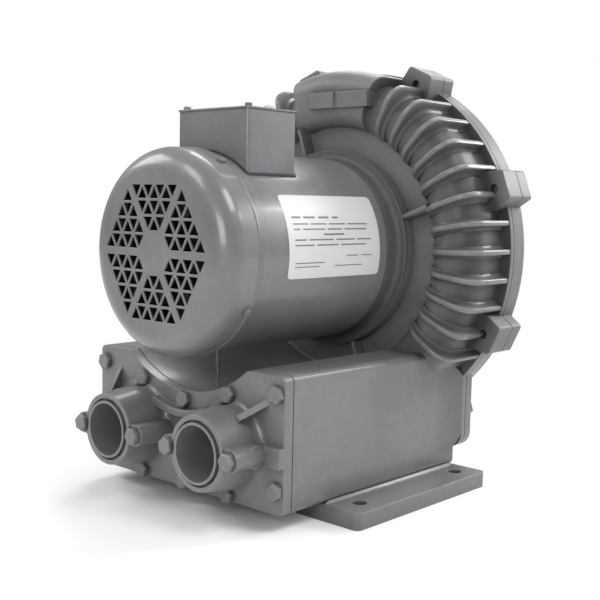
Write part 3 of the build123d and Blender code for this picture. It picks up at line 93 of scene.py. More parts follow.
class Tree:
    """A node tree with short calls for adding and linking nodes."""

    def __init__(self, tree: bpy.types.NodeTree) -> None:
        """Wrap a tree.

        Args:
            tree: The node tree to build in.
        """
        self.tree = tree

    def add(self, kind: str, **settings: object) -> bpy.types.Node:
        """Add a node.

        Args:
            kind: The node's type name.
            settings: Properties set on the node.

        Returns:
            The new node.
        """
        node = self.tree.nodes.new(kind)
        for name, value in settings.items():
            setattr(node, name, value)
        return node

    def feed(self, node: bpy.types.Node, socket: str | int, value: object) -> None:
        """Set an input, or link it when the value is another node's output.

        Args:
            node: The node whose input is fed.
            socket: Name or index of the input.
            value: A plain value or an output socket.
        """
        target = node.inputs[socket]
        if isinstance(value, bpy.types.NodeSocket):
            self.tree.links.new(value, target)
        else:
            target.default_value = value

    def math(self, operation: str, first: object, second: object, clamp: bool = False) -> bpy.types.NodeSocket:
        """Add a math node.

        Args:
            operation: The operation's name.
            first: First value or output.
            second: Second value or output.
            clamp: Whether the result is held between 0 and 1.

        Returns:
            The result socket.
        """
        node = self.add("ShaderNodeMath", operation=operation, use_clamp=clamp)
        self.feed(node, 0, first)
        self.feed(node, 1, second)
        return node.outputs[0]

    def mix_colour(self, factor: object, first: object, second: object) -> bpy.types.NodeSocket:
        """Add a colour mix.

        Args:
            factor: How much of the second colour shows.
            first: First colour or output.
            second: Second colour or output.

        Returns:
            The mixed colour's socket.
        """
        node = self.add("ShaderNodeMix", data_type="RGBA")
        self.feed(node, 0, factor)
        self.feed(node, 6, first)
        self.feed(node, 7, second)
        return node.outputs[2]

    def remap(self, value: object, low: float, high: float) -> bpy.types.NodeSocket:
        """Map a value from 0 to 1 onto a new range.

        Args:
            value: The value or output.
            low: Result at 0.
            high: Result at 1.

        Returns:
            The mapped value's socket.
        """
        node = self.add("ShaderNodeMapRange")
        self.feed(node, "Value", value)
        self.feed(node, "To Min", low)
        self.feed(node, "To Max", high)
        return node.outputs["Result"]

    def ramp(self, value: object, start: float, end: float, **settings: object) -> bpy.types.NodeSocket:
        """Map a value onto 0 to 1 between two limits.

        Args:
            value: The value or output.
            start: Where the result is 0.
            end: Where the result is 1.
            settings: Properties set on the node.

        Returns:
            The mapped value's socket.
        """
        node = self.add("ShaderNodeMapRange", **settings)
        self.feed(node, "Value", value)
        self.feed(node, "From Min", start)
        self.feed(node, "From Max", end)
        return node.outputs["Result"]

    def noise(self, place: object, scale: object, detail: float) -> bpy.types.NodeSocket:
        """Add a noise texture.

        Args:
            place: The place's socket.
            scale: Scale or output.
            detail: Number of finer layers.

        Returns:
            The noise value's socket.
        """
        node = self.add("ShaderNodeTexNoise")
        self.feed(node, "Vector", place)
        self.feed(node, "Scale", scale)
        self.feed(node, "Detail", detail)
        return node.outputs[0]

    def bump(self, shader: bpy.types.Node, height: object, strength: float, depth: float) -> bpy.types.Node:
        """Bump a shader's normal.

        Args:
            shader: The shader.
            height: The height's socket.
            strength: How much of the bump shows.
            depth: Height of the bump in metres.

        Returns:
            The bump node.
        """
        node = self.add("ShaderNodeBump")
        self.feed(node, "Strength", strength)
        self.feed(node, "Distance", depth)
        self.feed(node, "Height", height)
        self.feed(shader, "Normal", node.outputs["Normal"])
        return node


def shader_group(name: str, inputs: dict[str, float], outputs: dict[str, SocketKind]) -> tuple[Tree, bool]:
    """Find or start a shader node group.

    Args:
        name: The group's name.
        inputs: Float inputs with their first values.
        outputs: Output names and kinds.

    Returns:
        The group's tree, and whether it is new and still empty.
    """
    if name in bpy.data.node_groups:
        return Tree(bpy.data.node_groups[name]), False
    group = bpy.data.node_groups.new(name, "ShaderNodeTree")
    for label, value in inputs.items():
        socket = group.interface.new_socket(name=label, in_out="INPUT", socket_type=SocketKind.FLOAT.value)
        socket.default_value = value
    for label, kind in outputs.items():
        group.interface.new_socket(name=label, in_out="OUTPUT", socket_type=kind.value)
    return Tree(group), True


def cast_skin_group() -> bpy.types.NodeTree:
    """Height and tone of a painted casting or sheet: fine pores, soft lumps and slow tone drift.

    Returns:
        The node group.
    """
    tree, fresh = shader_group(
        "cast_skin",
        {"Pore Scale": 900.0, "Lump Scale": 120.0, "Tone Scale": 14.0},
        {"Height": SocketKind.FLOAT, "Tone": SocketKind.FLOAT},
    )
    if fresh:
        start = tree.add("NodeGroupInput")
        end = tree.add("NodeGroupOutput")
        place = tree.add("ShaderNodeTexCoord").outputs["Object"]
        pores = tree.noise(place, start.outputs["Pore Scale"], 2.0)
        lumps = tree.noise(place, start.outputs["Lump Scale"], 3.0)
        drift = tree.noise(place, start.outputs["Tone Scale"], 5.0)
        tree.feed(end, "Height", tree.math("ADD", tree.math("MULTIPLY", pores, PORE_SHARE), lumps))
        lumpy = tree.math("MULTIPLY", lumps, LUMP_TONE)
        drifting = tree.math("MULTIPLY", drift, 1.0 - LUMP_TONE)
        tree.feed(end, "Tone", tree.remap(tree.math("ADD", lumpy, drifting), *TONE_SPREAD))
    return tree.tree


def soft_edge_group() -> bpy.types.NodeTree:
    """Rounded normals at sharp edges, and a mask of those edges, where the paint is lightened: partly worn paint,
    partly a painted highlight.

    Returns:
        The node group.
    """
    tree, fresh = shader_group(
        "soft_edges",
        {"Radius": 0.001, "Gain": 4.0},
        {"Normal": SocketKind.VECTOR, "Edge": SocketKind.FLOAT},
    )
    if fresh:
        start = tree.add("NodeGroupInput")
        end = tree.add("NodeGroupOutput")
        rounded = tree.add("ShaderNodeBevel", samples=6)
        tree.feed(rounded, "Radius", start.outputs["Radius"])
        facing = tree.add("ShaderNodeNewGeometry")
        dot = tree.add("ShaderNodeVectorMath", operation="DOT_PRODUCT")
        tree.feed(dot, 0, rounded.outputs["Normal"])
        tree.feed(dot, 1, facing.outputs["Normal"])
        turned = tree.math("SUBTRACT", 1.0, dot.outputs["Value"])
        tree.feed(end, "Edge", tree.math("MULTIPLY", turned, start.outputs["Gain"], clamp=True))
        tree.feed(end, "Normal", rounded.outputs["Normal"])
    return tree.tree


def dust_group() -> bpy.types.NodeTree:
    """Mask of thin dust: more on faces that look up, in broken patches.

    Returns:
        The node group.
    """
    tree, fresh = shader_group("dust_film", {"Amount": 0.2, "Patch Scale": 30.0}, {"Mask": SocketKind.FLOAT})
    if fresh:
        start = tree.add("NodeGroupInput")
        end = tree.add("NodeGroupOutput")
        facing = tree.add("ShaderNodeNewGeometry")
        parts = tree.add("ShaderNodeSeparateXYZ")
        tree.feed(parts, 0, facing.outputs["Normal"])
        upward = tree.math("MULTIPLY", parts.outputs["Z"], 1.0, clamp=True)
        place = tree.add("ShaderNodeTexCoord").outputs["Object"]
        patches = tree.noise(place, start.outputs["Patch Scale"], 6.0)
        broken = tree.math("MULTIPLY", upward, patches)
        tree.feed(end, "Mask", tree.math("MULTIPLY", broken, start.outputs["Amount"], clamp=True))
    return tree.tree


def hollow_shade_group() -> bpy.types.NodeTree:
    """Mask of narrow hollows, found by ambient occlusion, where painted shade darkens the colour.

    Returns:
        The node group.
    """
    tree, fresh = shader_group("cavities", {"Reach": 0.02, "Amount": 0.5}, {"Mask": SocketKind.FLOAT})
    if fresh:
        start = tree.add("NodeGroupInput")
        end = tree.add("NodeGroupOutput")
        hollow = tree.add("ShaderNodeAmbientOcclusion", samples=8)
        tree.feed(hollow, "Distance", start.outputs["Reach"])
        closed = tree.math("SUBTRACT", 1.0, hollow.outputs["AO"])
        tree.feed(end, "Mask", tree.math("MULTIPLY", closed, start.outputs["Amount"], clamp=True))
    return tree.tree


def group_node(tree: Tree, group: bpy.types.NodeTree, **values: float) -> bpy.types.Node:
    """Place a shader node group in a material.

    Args:
        tree: The material's tree.
        group: The group to place.
        values: Input values by name, with underscores for spaces.

    Returns:
        The group node.
    """
    node = tree.add("ShaderNodeGroup", node_tree=group)
    for name, value in values.items():
        node.inputs[name.replace("_", " ")].default_value = value
    return node


def start_material(name: str) -> tuple[bpy.types.Material, Tree, bpy.types.Node]:
    """Start a node material.

    Args:
        name: The material's name.

    Returns:
        The material, its tree and its Principled shader.
    """
    material = bpy.data.materials.new(name)
    material.use_nodes = True
    tree = Tree(material.node_tree)
    return material, tree, material.node_tree.nodes["Principled BSDF"]


def shade(colour: Sequence[float], share: float = 1.0, lift: float = 0.0) -> tuple[float, ...]:
    """Lighten or darken a colour.

    Args:
        colour: Red, green and blue.
        share: What each is multiplied by.
        lift: What is added then.

    Returns:
        The opaque colour, with no channel above one.
    """
    return (*(min(1.0, channel * share + lift) for channel in colour), 1.0)


@dataclass(frozen=True)
class Paint:
    """Grey machine paint over a casting or over sheet.

    The dark, light, worn, dusty and shaded tones are shares of the paint's colour. The worn tone lightens edges,
    partly as wear and partly as painted highlight, and lightens the crests as painted highlight; the shaded tone is
    painted shade in the hollows. Above rough_from the paint is duller, and from ring_span outward, where the ribs
    stand, the painted shade in the hollows is deeper.
    """

    name: str
    colour: tuple[float, float, float] = (0.150, 0.152, 0.157)
    roughness: float = 0.42
    rough_spread: tuple[float, float] = (-0.06, 0.08)
    coat: float = 0.20
    coat_roughness: float = 0.16
    grain: float = 0.25
    grain_depth: float = 0.3 * MM
    pore_scale: float = 700.0
    lump_scale: float = 110.0
    dark_share: float = 0.80
    light_share: float = 1.20
    edge_radius: float = 2.0 * MM
    # Edges are lightened toward the worn tone, a share of the colour given next: partly wear, partly painted
    # highlight
    edge_wear_and_highlight: float = 0.50
    worn_and_highlight_share: float = 1.9
    dust: float = 0.20
    dusty_share: float = 1.6
    dusty_lift: float = 0.04
    dusty_rough: float = 0.4
    # Painted shade in hollows: how much, the darker share of the colour, and the reach of the occlusion
    hollow_shade: float = 0.75
    hollow_shade_share: float = 0.30
    hollow_shade_reach: float = 24.0 * MM
    rough_from: float = 0.0
    rough_blend: float = 20.0 * MM
    rough_extra: float = 0.16
    coat_left: float = 0.15
    # From this span outward, where the ribs stand, the painted shade in hollows is deeper by the share on the next
    # line
    ring_span: tuple[float, float] = (132.0 * MM, 146.0 * MM)
    ring_hollow_shade: float = 1.6
    # Painted highlight on the crests: how much, the pointiness where it starts, and its gain
    crest: float = 0.0
    crest_highlight_start: float = 0.52
    crest_highlight_gain: float = 6.0

    def masks(self, tree: Tree) -> tuple[bpy.types.NodeSocket, bpy.types.NodeSocket]:
        """Mask the upper castings, and of these the ring by its distance from the shaft.

        Args:
            tree: The material's tree.

        Returns:
            The mask of everything above rough_from, and the mask of the ring.
        """
        place = tree.add("ShaderNodeTexCoord").outputs["Object"]
        parts = tree.add("ShaderNodeSeparateXYZ")
        tree.feed(parts, 0, place)
        high = tree.ramp(parts.outputs["Z"], self.rough_from, self.rough_from + self.rough_blend)
        from_shaft = tree.add("ShaderNodeMapping")
        tree.feed(from_shaft, "Vector", place)
        tree.feed(from_shaft, "Location", (0.0, 0.0, -SHAFT_Z))
        tree.feed(from_shaft, "Scale", (1.0, 0.0, 1.0))
        radius = tree.add("ShaderNodeVectorMath", operation="LENGTH")
        tree.feed(radius, 0, from_shaft.outputs[0])
        outer = tree.ramp(radius.outputs["Value"], *self.ring_span)
        return high, tree.math("MULTIPLY", outer, high)

    def build(self) -> bpy.types.Material:
        """Build the material.

        Returns:
            The material.
        """
        material, tree, shader = start_material(self.name)
        skin = group_node(tree, cast_skin_group(), Pore_Scale=self.pore_scale, Lump_Scale=self.lump_scale)
        edges = group_node(tree, soft_edge_group(), Radius=self.edge_radius)
        dust = group_node(tree, dust_group(), Amount=self.dust).outputs["Mask"]
        # Painted shade: hollows found by ambient occlusion darken the colour
        hollow_shade = group_node(tree, hollow_shade_group(), Reach=self.hollow_shade_reach, Amount=self.hollow_shade).outputs["Mask"]
        tone = skin.outputs["Tone"]
        worn_and_highlight = shade(self.colour, self.worn_and_highlight_share)
        colour = tree.mix_colour(tone, shade(self.colour, self.dark_share), shade(self.colour, self.light_share))
        # Edges lightened toward the worn tone: partly wear, partly painted highlight
        colour = tree.mix_colour(tree.math("MULTIPLY", edges.outputs["Edge"], self.edge_wear_and_highlight), colour, worn_and_highlight)
        # Painted highlight: crests, found by their pointiness, are lightened toward the worn tone
        if self.crest > 0:
            shape = tree.add("ShaderNodeNewGeometry")
            above = tree.math("SUBTRACT", shape.outputs["Pointiness"], self.crest_highlight_start)
            crest_highlight_mask = tree.math("MULTIPLY", above, self.crest_highlight_gain, clamp=True)
            colour = tree.mix_colour(tree.math("MULTIPLY", crest_highlight_mask, self.crest), colour, worn_and_highlight)
        colour = tree.mix_colour(dust, colour, shade(self.colour, self.dusty_share, self.dusty_lift))
        rough = tree.remap(tone, *(self.roughness + change for change in self.rough_spread))
        rough = tree.math("ADD", rough, tree.math("MULTIPLY", dust, self.dusty_rough), clamp=True)
        coat = self.coat
        if self.rough_from > 0:
            high, ring = self.masks(tree)
            # Between the ribs of the ring the painted shade is deeper
            hollow_shade = tree.math("MULTIPLY", hollow_shade, tree.remap(ring, 1.0, 1.0 + self.ring_hollow_shade), clamp=True)
            rough = tree.math("ADD", rough, tree.math("MULTIPLY", high, self.rough_extra), clamp=True)
            coat = tree.remap(high, self.coat, self.coat * self.coat_left)
        # The painted shade in the hollows goes into the colour last
        tree.feed(shader, "Base Color", tree.mix_colour(hollow_shade, colour, shade(self.colour, self.hollow_shade_share)))
        tree.feed(shader, "Roughness", rough)
        tree.feed(shader, "Coat Weight", coat)
        tree.feed(shader, "Coat Roughness", self.coat_roughness)
        bump = tree.bump(shader, skin.outputs["Height"], self.grain, self.grain_depth)
        tree.feed(bump, "Normal", edges.outputs["Normal"])
        return material


@dataclass(frozen=True)
class Metal:
    """Bare metal with streaks: turned, ground, plated or as cast."""

    name: str
    colour: tuple[float, float, float]
    roughness: float = 0.35
    streak: float = 0.12
    streak_scale: float = 500.0
    streak_length: float = 12.0
    dull_share: float = 0.82
    grain: float = 0.15
    grain_depth: float = 0.05 * MM

    def build(self) -> bpy.types.Material:
        """Build the material.

        Returns:
            The material.
        """
        material, tree, shader = start_material(self.name)
        stretch = tree.add("ShaderNodeMapping")
        tree.feed(stretch, "Vector", tree.add("ShaderNodeTexCoord").outputs["Object"])
        tree.feed(stretch, "Scale", (1.0, self.streak_length, 1.0))
        streaks = tree.noise(stretch.outputs[0], self.streak_scale, 3.0)
        dull = shade(self.colour, self.dull_share)
        tree.feed(shader, "Base Color", tree.mix_colour(streaks, dull, shade(self.colour)))
        rough = tree.remap(streaks, self.roughness - self.streak, self.roughness + self.streak)
        tree.feed(shader, "Roughness", rough)
        tree.feed(shader, "Metallic", 1.0)
        tree.bump(shader, streaks, self.grain, self.grain_depth)
        return material


@dataclass(frozen=True)
class Soft:
    """Gasket, seal, foam, moulded plastic or printed film: no metal in it."""

    name: str
    colour: tuple[float, float, float]
    roughness: float = 0.7
    rough_spread: float = 0.05
    grain_scale: float = 600.0
    grain: float = 0.3
    grain_depth: float = 0.2 * MM
    dark_share: float = 0.7
    cells: bool = False

    def build(self) -> bpy.types.Material:
        """Build the material.

        Returns:
            The material.
        """
        material, tree, shader = start_material(self.name)
        texture = tree.add("ShaderNodeTexVoronoi" if self.cells else "ShaderNodeTexNoise")
        value = texture.outputs["Distance" if self.cells else 0]
        tree.feed(texture, "Vector", tree.add("ShaderNodeTexCoord").outputs["Object"])
        tree.feed(texture, "Scale", self.grain_scale)
        dark = shade(self.colour, self.dark_share)
        tree.feed(shader, "Base Color", tree.mix_colour(value, dark, shade(self.colour)))
        rough = tree.remap(value, self.roughness - self.rough_spread, self.roughness + self.rough_spread)
        tree.feed(shader, "Roughness", rough)
        tree.bump(shader, value, self.grain, self.grain_depth)
        return material


class Finish(Enum):
    """All finishes. Their names are slots of the record, but for those of the ribs, the seat and the plate."""

    # In these finishes the darkened hollows are painted shade, the lighter edges are partly wear and partly painted
    # highlight, and the ribs' lighter crests are painted highlight
    HOUSING_PAINT = Paint("housing_paint", roughness=0.38, coat=0.45, rough_from=112.0 * MM, hollow_shade=1.0)
    # The ribs' paint has a painted highlight on its crests
    RIB_PAINT = Paint("rib_paint", roughness=0.40, coat=0.30, crest=0.7, hollow_shade=1.0)
    # A darker copy of the motor paint for the seat's flare: painted shade where the ring keeps the light off the rear
    # of the motor
    SEAT_PAINT = Paint("seat_paint", colour=(0.085, 0.086, 0.089), roughness=0.55, coat=0.0)
    MOTOR_PAINT = Paint(
        "motor_paint", roughness=0.32, coat=0.45, coat_roughness=0.12, grain=0.06, pore_scale=1200.0,
        edge_radius=1.1 * MM, edge_wear_and_highlight=0.3, hollow_shade=0.6, hollow_shade_reach=12.0 * MM,
    )
    PAINTED_BOLTS = Paint("painted_bolts", roughness=0.36, grain=0.12, edge_radius=0.7 * MM, edge_wear_and_highlight=0.6, hollow_shade=0.5)
    ZINC_STEEL = Metal("zinc_steel", (0.62, 0.62, 0.60), roughness=0.38)
    GASKET = Soft("gasket", (0.03, 0.03, 0.03), roughness=0.75)
    FOAM = Soft("foam", (0.07, 0.07, 0.075), roughness=0.95, grain_scale=450.0, grain=0.9, cells=True)
    CORE_STEEL = Metal("core_steel", (0.30, 0.30, 0.31), roughness=0.5, streak_scale=1500.0)
    COPPER = Metal("copper", (0.60, 0.27, 0.12), roughness=0.42, streak_scale=900.0)
    CAST_ALUMINIUM = Metal("cast_aluminium", (0.66, 0.67, 0.68), roughness=0.52, streak_scale=250.0)
    GROUND_STEEL = Metal("ground_steel", (0.60, 0.60, 0.62), roughness=0.25)
    CAGE_STEEL = Metal("cage_steel", (0.50, 0.49, 0.46), roughness=0.35)
    FAN_PLASTIC = Soft("fan_plastic", (0.02, 0.02, 0.02), roughness=0.5)
    BLOCK_PLASTIC = Soft("block_plastic", (0.03, 0.03, 0.03), roughness=0.45)
    PLATE_FILM = Soft("plate_film", (0.60, 0.60, 0.60), roughness=0.38, grain_scale=60.0, grain=0.02, dark_share=0.96)
    PLATE_PRINT = Soft("plate_print", (0.16, 0.16, 0.165), roughness=0.5, grain=0.02, dark_share=0.9)

    @property
    def slot(self) -> str:
        """Name of the finish and, where the record has it, of its slot."""
        return self.value.name

    def material(self) -> bpy.types.Material:
        """Return the finish's material, built on first use."""
        found = bpy.data.materials.get(self.value.name)
        return found or self.value.build()


def clear_old_materials() -> None:
    """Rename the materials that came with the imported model, so the finishes take the slot names."""
    for material in list(bpy.data.materials):
        material.name = "packed_" + material.name


def finish_of_slot(slot: str) -> Finish:
    """Find the finish for a slot of the record.

    Args:
        slot: The slot's name.

    Returns:
        The finish with that name.
    """
    for finish in Finish:
        if finish.slot == slot:
            return finish
    raise KeyError(slot)


def new_object(name: str, mesh: bpy.types.Mesh) -> bpy.types.Object:
    """Link a new object that holds a mesh.

    Args:
        name: The object's name.
        mesh: Its mesh.

    Returns:
        The object.
    """
    obj = bpy.data.objects.new(name, mesh)
    bpy.context.scene.collection.objects.link(obj)
    return obj


def mesh_from(name: str, points: Sequence[Sequence[float]], faces: Sequence[Sequence[int]]) -> bpy.types.Mesh:
    """Make a mesh with outward normals.

    Args:
        name: The mesh's name.
        points: Corner places.
        faces: Corner indices of each face.

    Returns:
        The mesh.
    """
    mesh = bpy.data.meshes.new(name)
    mesh.from_pydata([tuple(point) for point in points], [], [tuple(face) for face in faces])
    work = bmesh.new()
    work.from_mesh(mesh)
    bmesh.ops.remove_doubles(work, verts=work.verts, dist=SAME_PLACE)
    bmesh.ops.recalc_face_normals(work, faces=work.faces)
    work.to_mesh(mesh)
    work.free()
    return mesh


def band(first: int, second: int, size: int) -> list[list[int]]:
    """List the faces between two closed rows of points.

    Args:
        first: Index of the first row's first point.
        second: Index of the second row's first point.
        size: Number of points in a row.

    Returns:
        The faces.
    """
    turns = [(step, (step + 1) % size) for step in range(size)]
    return [[first + step, first + after, second + after, second + step] for step, after in turns]


def smooth_by_angle(mesh: bpy.types.Mesh, degrees: float) -> None:
    """Shade smooth, with sharp edges where the faces turn more than an angle.

    Args:
        mesh: The mesh.
        degrees: The angle.
    """
    work = bmesh.new()
    work.from_mesh(mesh)
    limit = math.radians(degrees)
    for face in work.faces:
        face.smooth = True
    for edge in work.edges:
        edge.smooth = edge.is_manifold and edge.calc_face_angle(0.0) < limit
    work.to_mesh(mesh)
    work.free()


def apply_modifiers(obj: bpy.types.Object) -> None:
    """Turn an object's modifiers into its plain mesh.

    Args:
        obj: The object.
    """
    graph = bpy.context.evaluated_depsgraph_get()
    mesh = bpy.data.meshes.new_from_object(obj.evaluated_get(graph))
    obj.modifiers.clear()
    obj.data = mesh


def thicken(obj: bpy.types.Object, depth: float) -> None:
    """Thicken a surface toward its inner side.

    Args:
        obj: The object that holds the surface.
        depth: The thickness in millimetres.
    """
    solid = obj.modifiers.new("thickness", "SOLIDIFY")
    solid.thickness = depth * MM
    solid.offset = -1.0
    apply_modifiers(obj)


def hand_over(
    obj: bpy.types.Object, finish: Finish, body: str = FIXED_BODY, stands_for: Iterable[str] = ()
) -> None:
    """Give a finished piece its material and body, and hide the nodes that it stands for.

    Args:
        obj: The piece.
        finish: Its finish.
        body: The body it rides on.
        stands_for: CAD nodes that it replaces.
    """
    obj.data.materials.clear()
    obj.data.materials.append(finish.material())
    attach(obj, body)
    nodes = list(stands_for)
    if nodes:
        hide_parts(*nodes)
    log.info("piece %s: %d faces, %s", obj.name, len(obj.data.polygons), finish.slot)


class GeometryTree(Tree):
    """A Geometry Nodes tree with named inputs, ending in Realize Instances and Set Material."""

    def __init__(self, name: str, inputs: dict[str, tuple[SocketKind, object]]) -> None:
        """Start the tree.

        Args:
            name: The tree's name.
            inputs: Kinds and first values of the named inputs.
        """
        group = bpy.data.node_groups.new(name, "GeometryNodeTree")
        interface = group.interface
        interface.new_socket(name="Geometry", in_out="INPUT", socket_type=SocketKind.GEOMETRY.value)
        for label, (kind, value) in inputs.items():
            socket = interface.new_socket(name=label, in_out="INPUT", socket_type=kind.value)
            socket.default_value = value
        interface.new_socket(name="Material", in_out="INPUT", socket_type=SocketKind.MATERIAL.value)
        interface.new_socket(name="Geometry", in_out="OUTPUT", socket_type=SocketKind.GEOMETRY.value)
        super().__init__(group)
        self.start = self.add("NodeGroupInput")
        self.end = self.add("NodeGroupOutput")

    def lifted(self, geometry: bpy.types.NodeSocket, height: object) -> bpy.types.NodeSocket:
        """Move geometry upward.

        Args:
            geometry: The geometry.
            height: How far, as a value or output.

        Returns:
            The moved geometry.
        """
        lift = self.add("ShaderNodeCombineXYZ")
        self.feed(lift, "Z", height)
        moved = self.add("GeometryNodeTransform")
        self.feed(moved, "Geometry", geometry)
        self.feed(moved, "Translation", lift.outputs[0])
        return moved.outputs[0]

    def close(self, geometry: bpy.types.NodeSocket, smooth: bool = False) -> None:
        """End the tree.

        Args:
            geometry: The geometry to hand out.
            smooth: Whether it is shaded smooth.
        """
        real = self.add("GeometryNodeRealizeInstances")
        self.feed(real, 0, geometry)
        shade = self.add("GeometryNodeSetShadeSmooth")
        self.feed(shade, "Geometry", real.outputs[0])
        self.feed(shade, "Shade Smooth", smooth)
        finish = self.add("GeometryNodeSetMaterial")
        self.feed(finish, "Geometry", shade.outputs[0])
        self.feed(finish, "Material", self.start.outputs["Material"])
        self.feed(self.end, 0, finish.outputs[0])

    def run(self, obj: bpy.types.Object, material: bpy.types.Material, **values: object) -> None:
        """Run the tree on an object and keep the result as its plain mesh.

        Args:
            obj: The object that holds the first geometry.
            material: The material to set.
            values: Input values by name, with underscores for spaces.
        """
        modifier = obj.modifiers.new("shape", "NODES")
        modifier.node_group = self.tree
        wanted = {name.replace("_", " "): value for name, value in values.items()}
        wanted["Material"] = material
        for item in self.tree.interface.items_tree:
            if item.in_out == "INPUT" and item.name in wanted:
                modifier[item.identifier] = wanted[item.name]
        obj.update_tag()
        apply_modifiers(obj)


@dataclass
class RibbedRing:
    """Cooling ribs round the front half of the ring: drafted flanks, rounded crests and filleted roots.

    The rim, corner and front are those of the crest line, and the skin's those of the ring that the ribs stand
    on. The wall is the annular one round the motor.
    """

    joint: float = 93.0
    joint_overlap: float = 0.3
    rim: float = 165.0
    corner: float = 17.5
    front: float = 30.5
    front_radius: float = 134.0
    skin: float = 157.0
    skin_corner: float = 23.5
    skin_front: float = 38.5
    wall_y: float = 48.5
    wall_radius: float = 113.0
    first: float = -34.2
    pitch: float = 8.8
    right_count: int = 12
    left_first: float = 115.4
    left_count: int = 12
    full_height: float = 8.0
    least_height: float = 0.01
    corner_steps: int = 10
    hollow_steps: int = 8
    sharp_angle: float = 50.0
    # From crest to root: depth below the crest, share of the way down, half thickness
    flank: tuple[tuple[float, float, float], ...] = (
        (-0.50, 0.0, 0.5),
        (-0.38, 0.0, 1.25),
        (0.0, 0.0, 1.95),
        (0.9, 0.0, 2.25),
        (0.0, 0.45, 2.4),
        (0.0, 0.70, 2.7),
        (0.0, 0.84, 3.2),
        (0.0, 0.94, 4.1),
        (0.0, 1.02, 5.6),
    )

    def outline(self, rim: float, corner: float, front: float, front_radius: float) -> list[Vector]:
        """Line from the joint round the corner to the annular wall, as pairs of station and radius.

        Args:
            rim: Radius of the straight part.
            corner: Radius of the corner.
            front: Station of the front.
            front_radius: Radius at which the front ends and the hollow toward the wall starts.

        Returns:
            The points in millimetres.
        """
        points = [Vector((self.joint - self.joint_overlap, rim)), Vector(((self.joint + front + corner) / 2, rim))]
        for step in range(self.corner_steps + 1):
            turn = math.radians(90 * step / self.corner_steps)
            reach = Vector((-math.sin(turn), math.cos(turn))) * corner
            points.append(Vector((front + corner, rim - corner)) + reach)
        for step in range(1, self.hollow_steps + 1):
            turn = math.radians(90 * step / self.hollow_steps)
            station = front + (self.wall_y - front) * (1 - math.cos(turn))
            radius = front_radius - (front_radius - self.wall_radius) * math.sin(turn)
            points.append(Vector((station, radius)))
        return points

    def rib_mesh(self) -> bpy.types.Mesh:
        """One rib at angle zero about the shaft, ruled from its crest line down to the ring's skin.

        Returns:
            The mesh.
        """
        crest = self.outline(self.rim, self.corner, self.front, self.front_radius)
        foot = self.outline(self.skin, self.skin_corner, self.skin_front, self.skin - self.skin_corner)
        sides = [(-1, row) for row in reversed(self.flank)] + [(1, row) for row in self.flank]
        points: list[tuple[float, float, float]] = []
        for top, bottom in zip(crest, foot):
            height = (bottom - top).length
            down = (bottom - top).normalized() if height > self.least_height else Vector((1.0, 0.0))
            share_of_full = min(1.0, height / self.full_height)
            for side, (depth, share, half) in sides:
                place = top + down * (depth * share_of_full + share * height)
                points.append((place.y * MM, place.x * MM, side * half * MM))
        size = len(sides)
        faces: list[list[int]] = []
        for index in range(len(crest) - 1):
            faces.extend(band(index * size, (index + 1) * size, size))
        faces.append(list(range(size)))
        faces.append(list(range((len(crest) - 1) * size, len(crest) * size)))
        return mesh_from("rib", points, faces)

    def polar_tree(self) -> GeometryTree:
        """Tree that repeats its geometry about the shaft at a pitch.

        Returns:
            The tree.
        """
        tree = GeometryTree(
            "polar_ribs",
            {
                "Count": (SocketKind.INTEGER, self.right_count),
                "First Angle": (SocketKind.FLOAT, math.radians(self.first)),
                "Pitch": (SocketKind.FLOAT, math.radians(self.pitch)),
                "Shaft Height": (SocketKind.FLOAT, SHAFT_Z),
            },
        )
        line = tree.add("GeometryNodeMeshLine")
        tree.feed(line, "Count", tree.start.outputs["Count"])
        tree.feed(line, "Offset", (0.0, 0.0, 0.0))
        index = tree.add("GeometryNodeInputIndex")
        swept = tree.math("MULTIPLY", index.outputs[0], tree.start.outputs["Pitch"])
        angle = tree.math("ADD", swept, tree.start.outputs["First Angle"])
        turn = tree.add("ShaderNodeCombineXYZ")
        tree.feed(turn, "Y", tree.math("MULTIPLY", angle, -1.0))
        copies = tree.add("GeometryNodeInstanceOnPoints")
        tree.feed(copies, "Points", line.outputs["Mesh"])
        tree.feed(copies, "Instance", tree.start.outputs["Geometry"])
        tree.feed(copies, "Rotation", turn.outputs[0])
        tree.close(tree.lifted(copies.outputs[0], tree.start.outputs["Shaft Height"]), smooth=True)
        return tree

    def build(self) -> None:
        """Build the ribs on both sides of the smooth sector."""
        tree = self.polar_tree()
        for name, first, count in (
            ("ribs_right", self.first, self.right_count),
            ("ribs_left", self.left_first, self.left_count),
        ):
            obj = new_object(name, self.rib_mesh())
            tree.run(
                obj,
                Finish.RIB_PAINT.material(),
                Count=count,
                First_Angle=math.radians(first),
                Pitch=math.radians(self.pitch),
            )
            smooth_by_angle(obj.data, self.sharp_angle)
            hand_over(obj, Finish.RIB_PAINT)


@dataclass
class BoltGroup:
    """Bolts of one size that all point the same way."""

    name: str
    places: tuple[tuple[float, float, float], ...]
    tilt: tuple[float, float, float]
    flats: float = 13.0
    head: float = 5.3
    shank: float = 3.9
    length: float = 24.0
    finish: Finish = Finish.PAINTED_BOLTS
    stands_for: tuple[str, ...] = ()


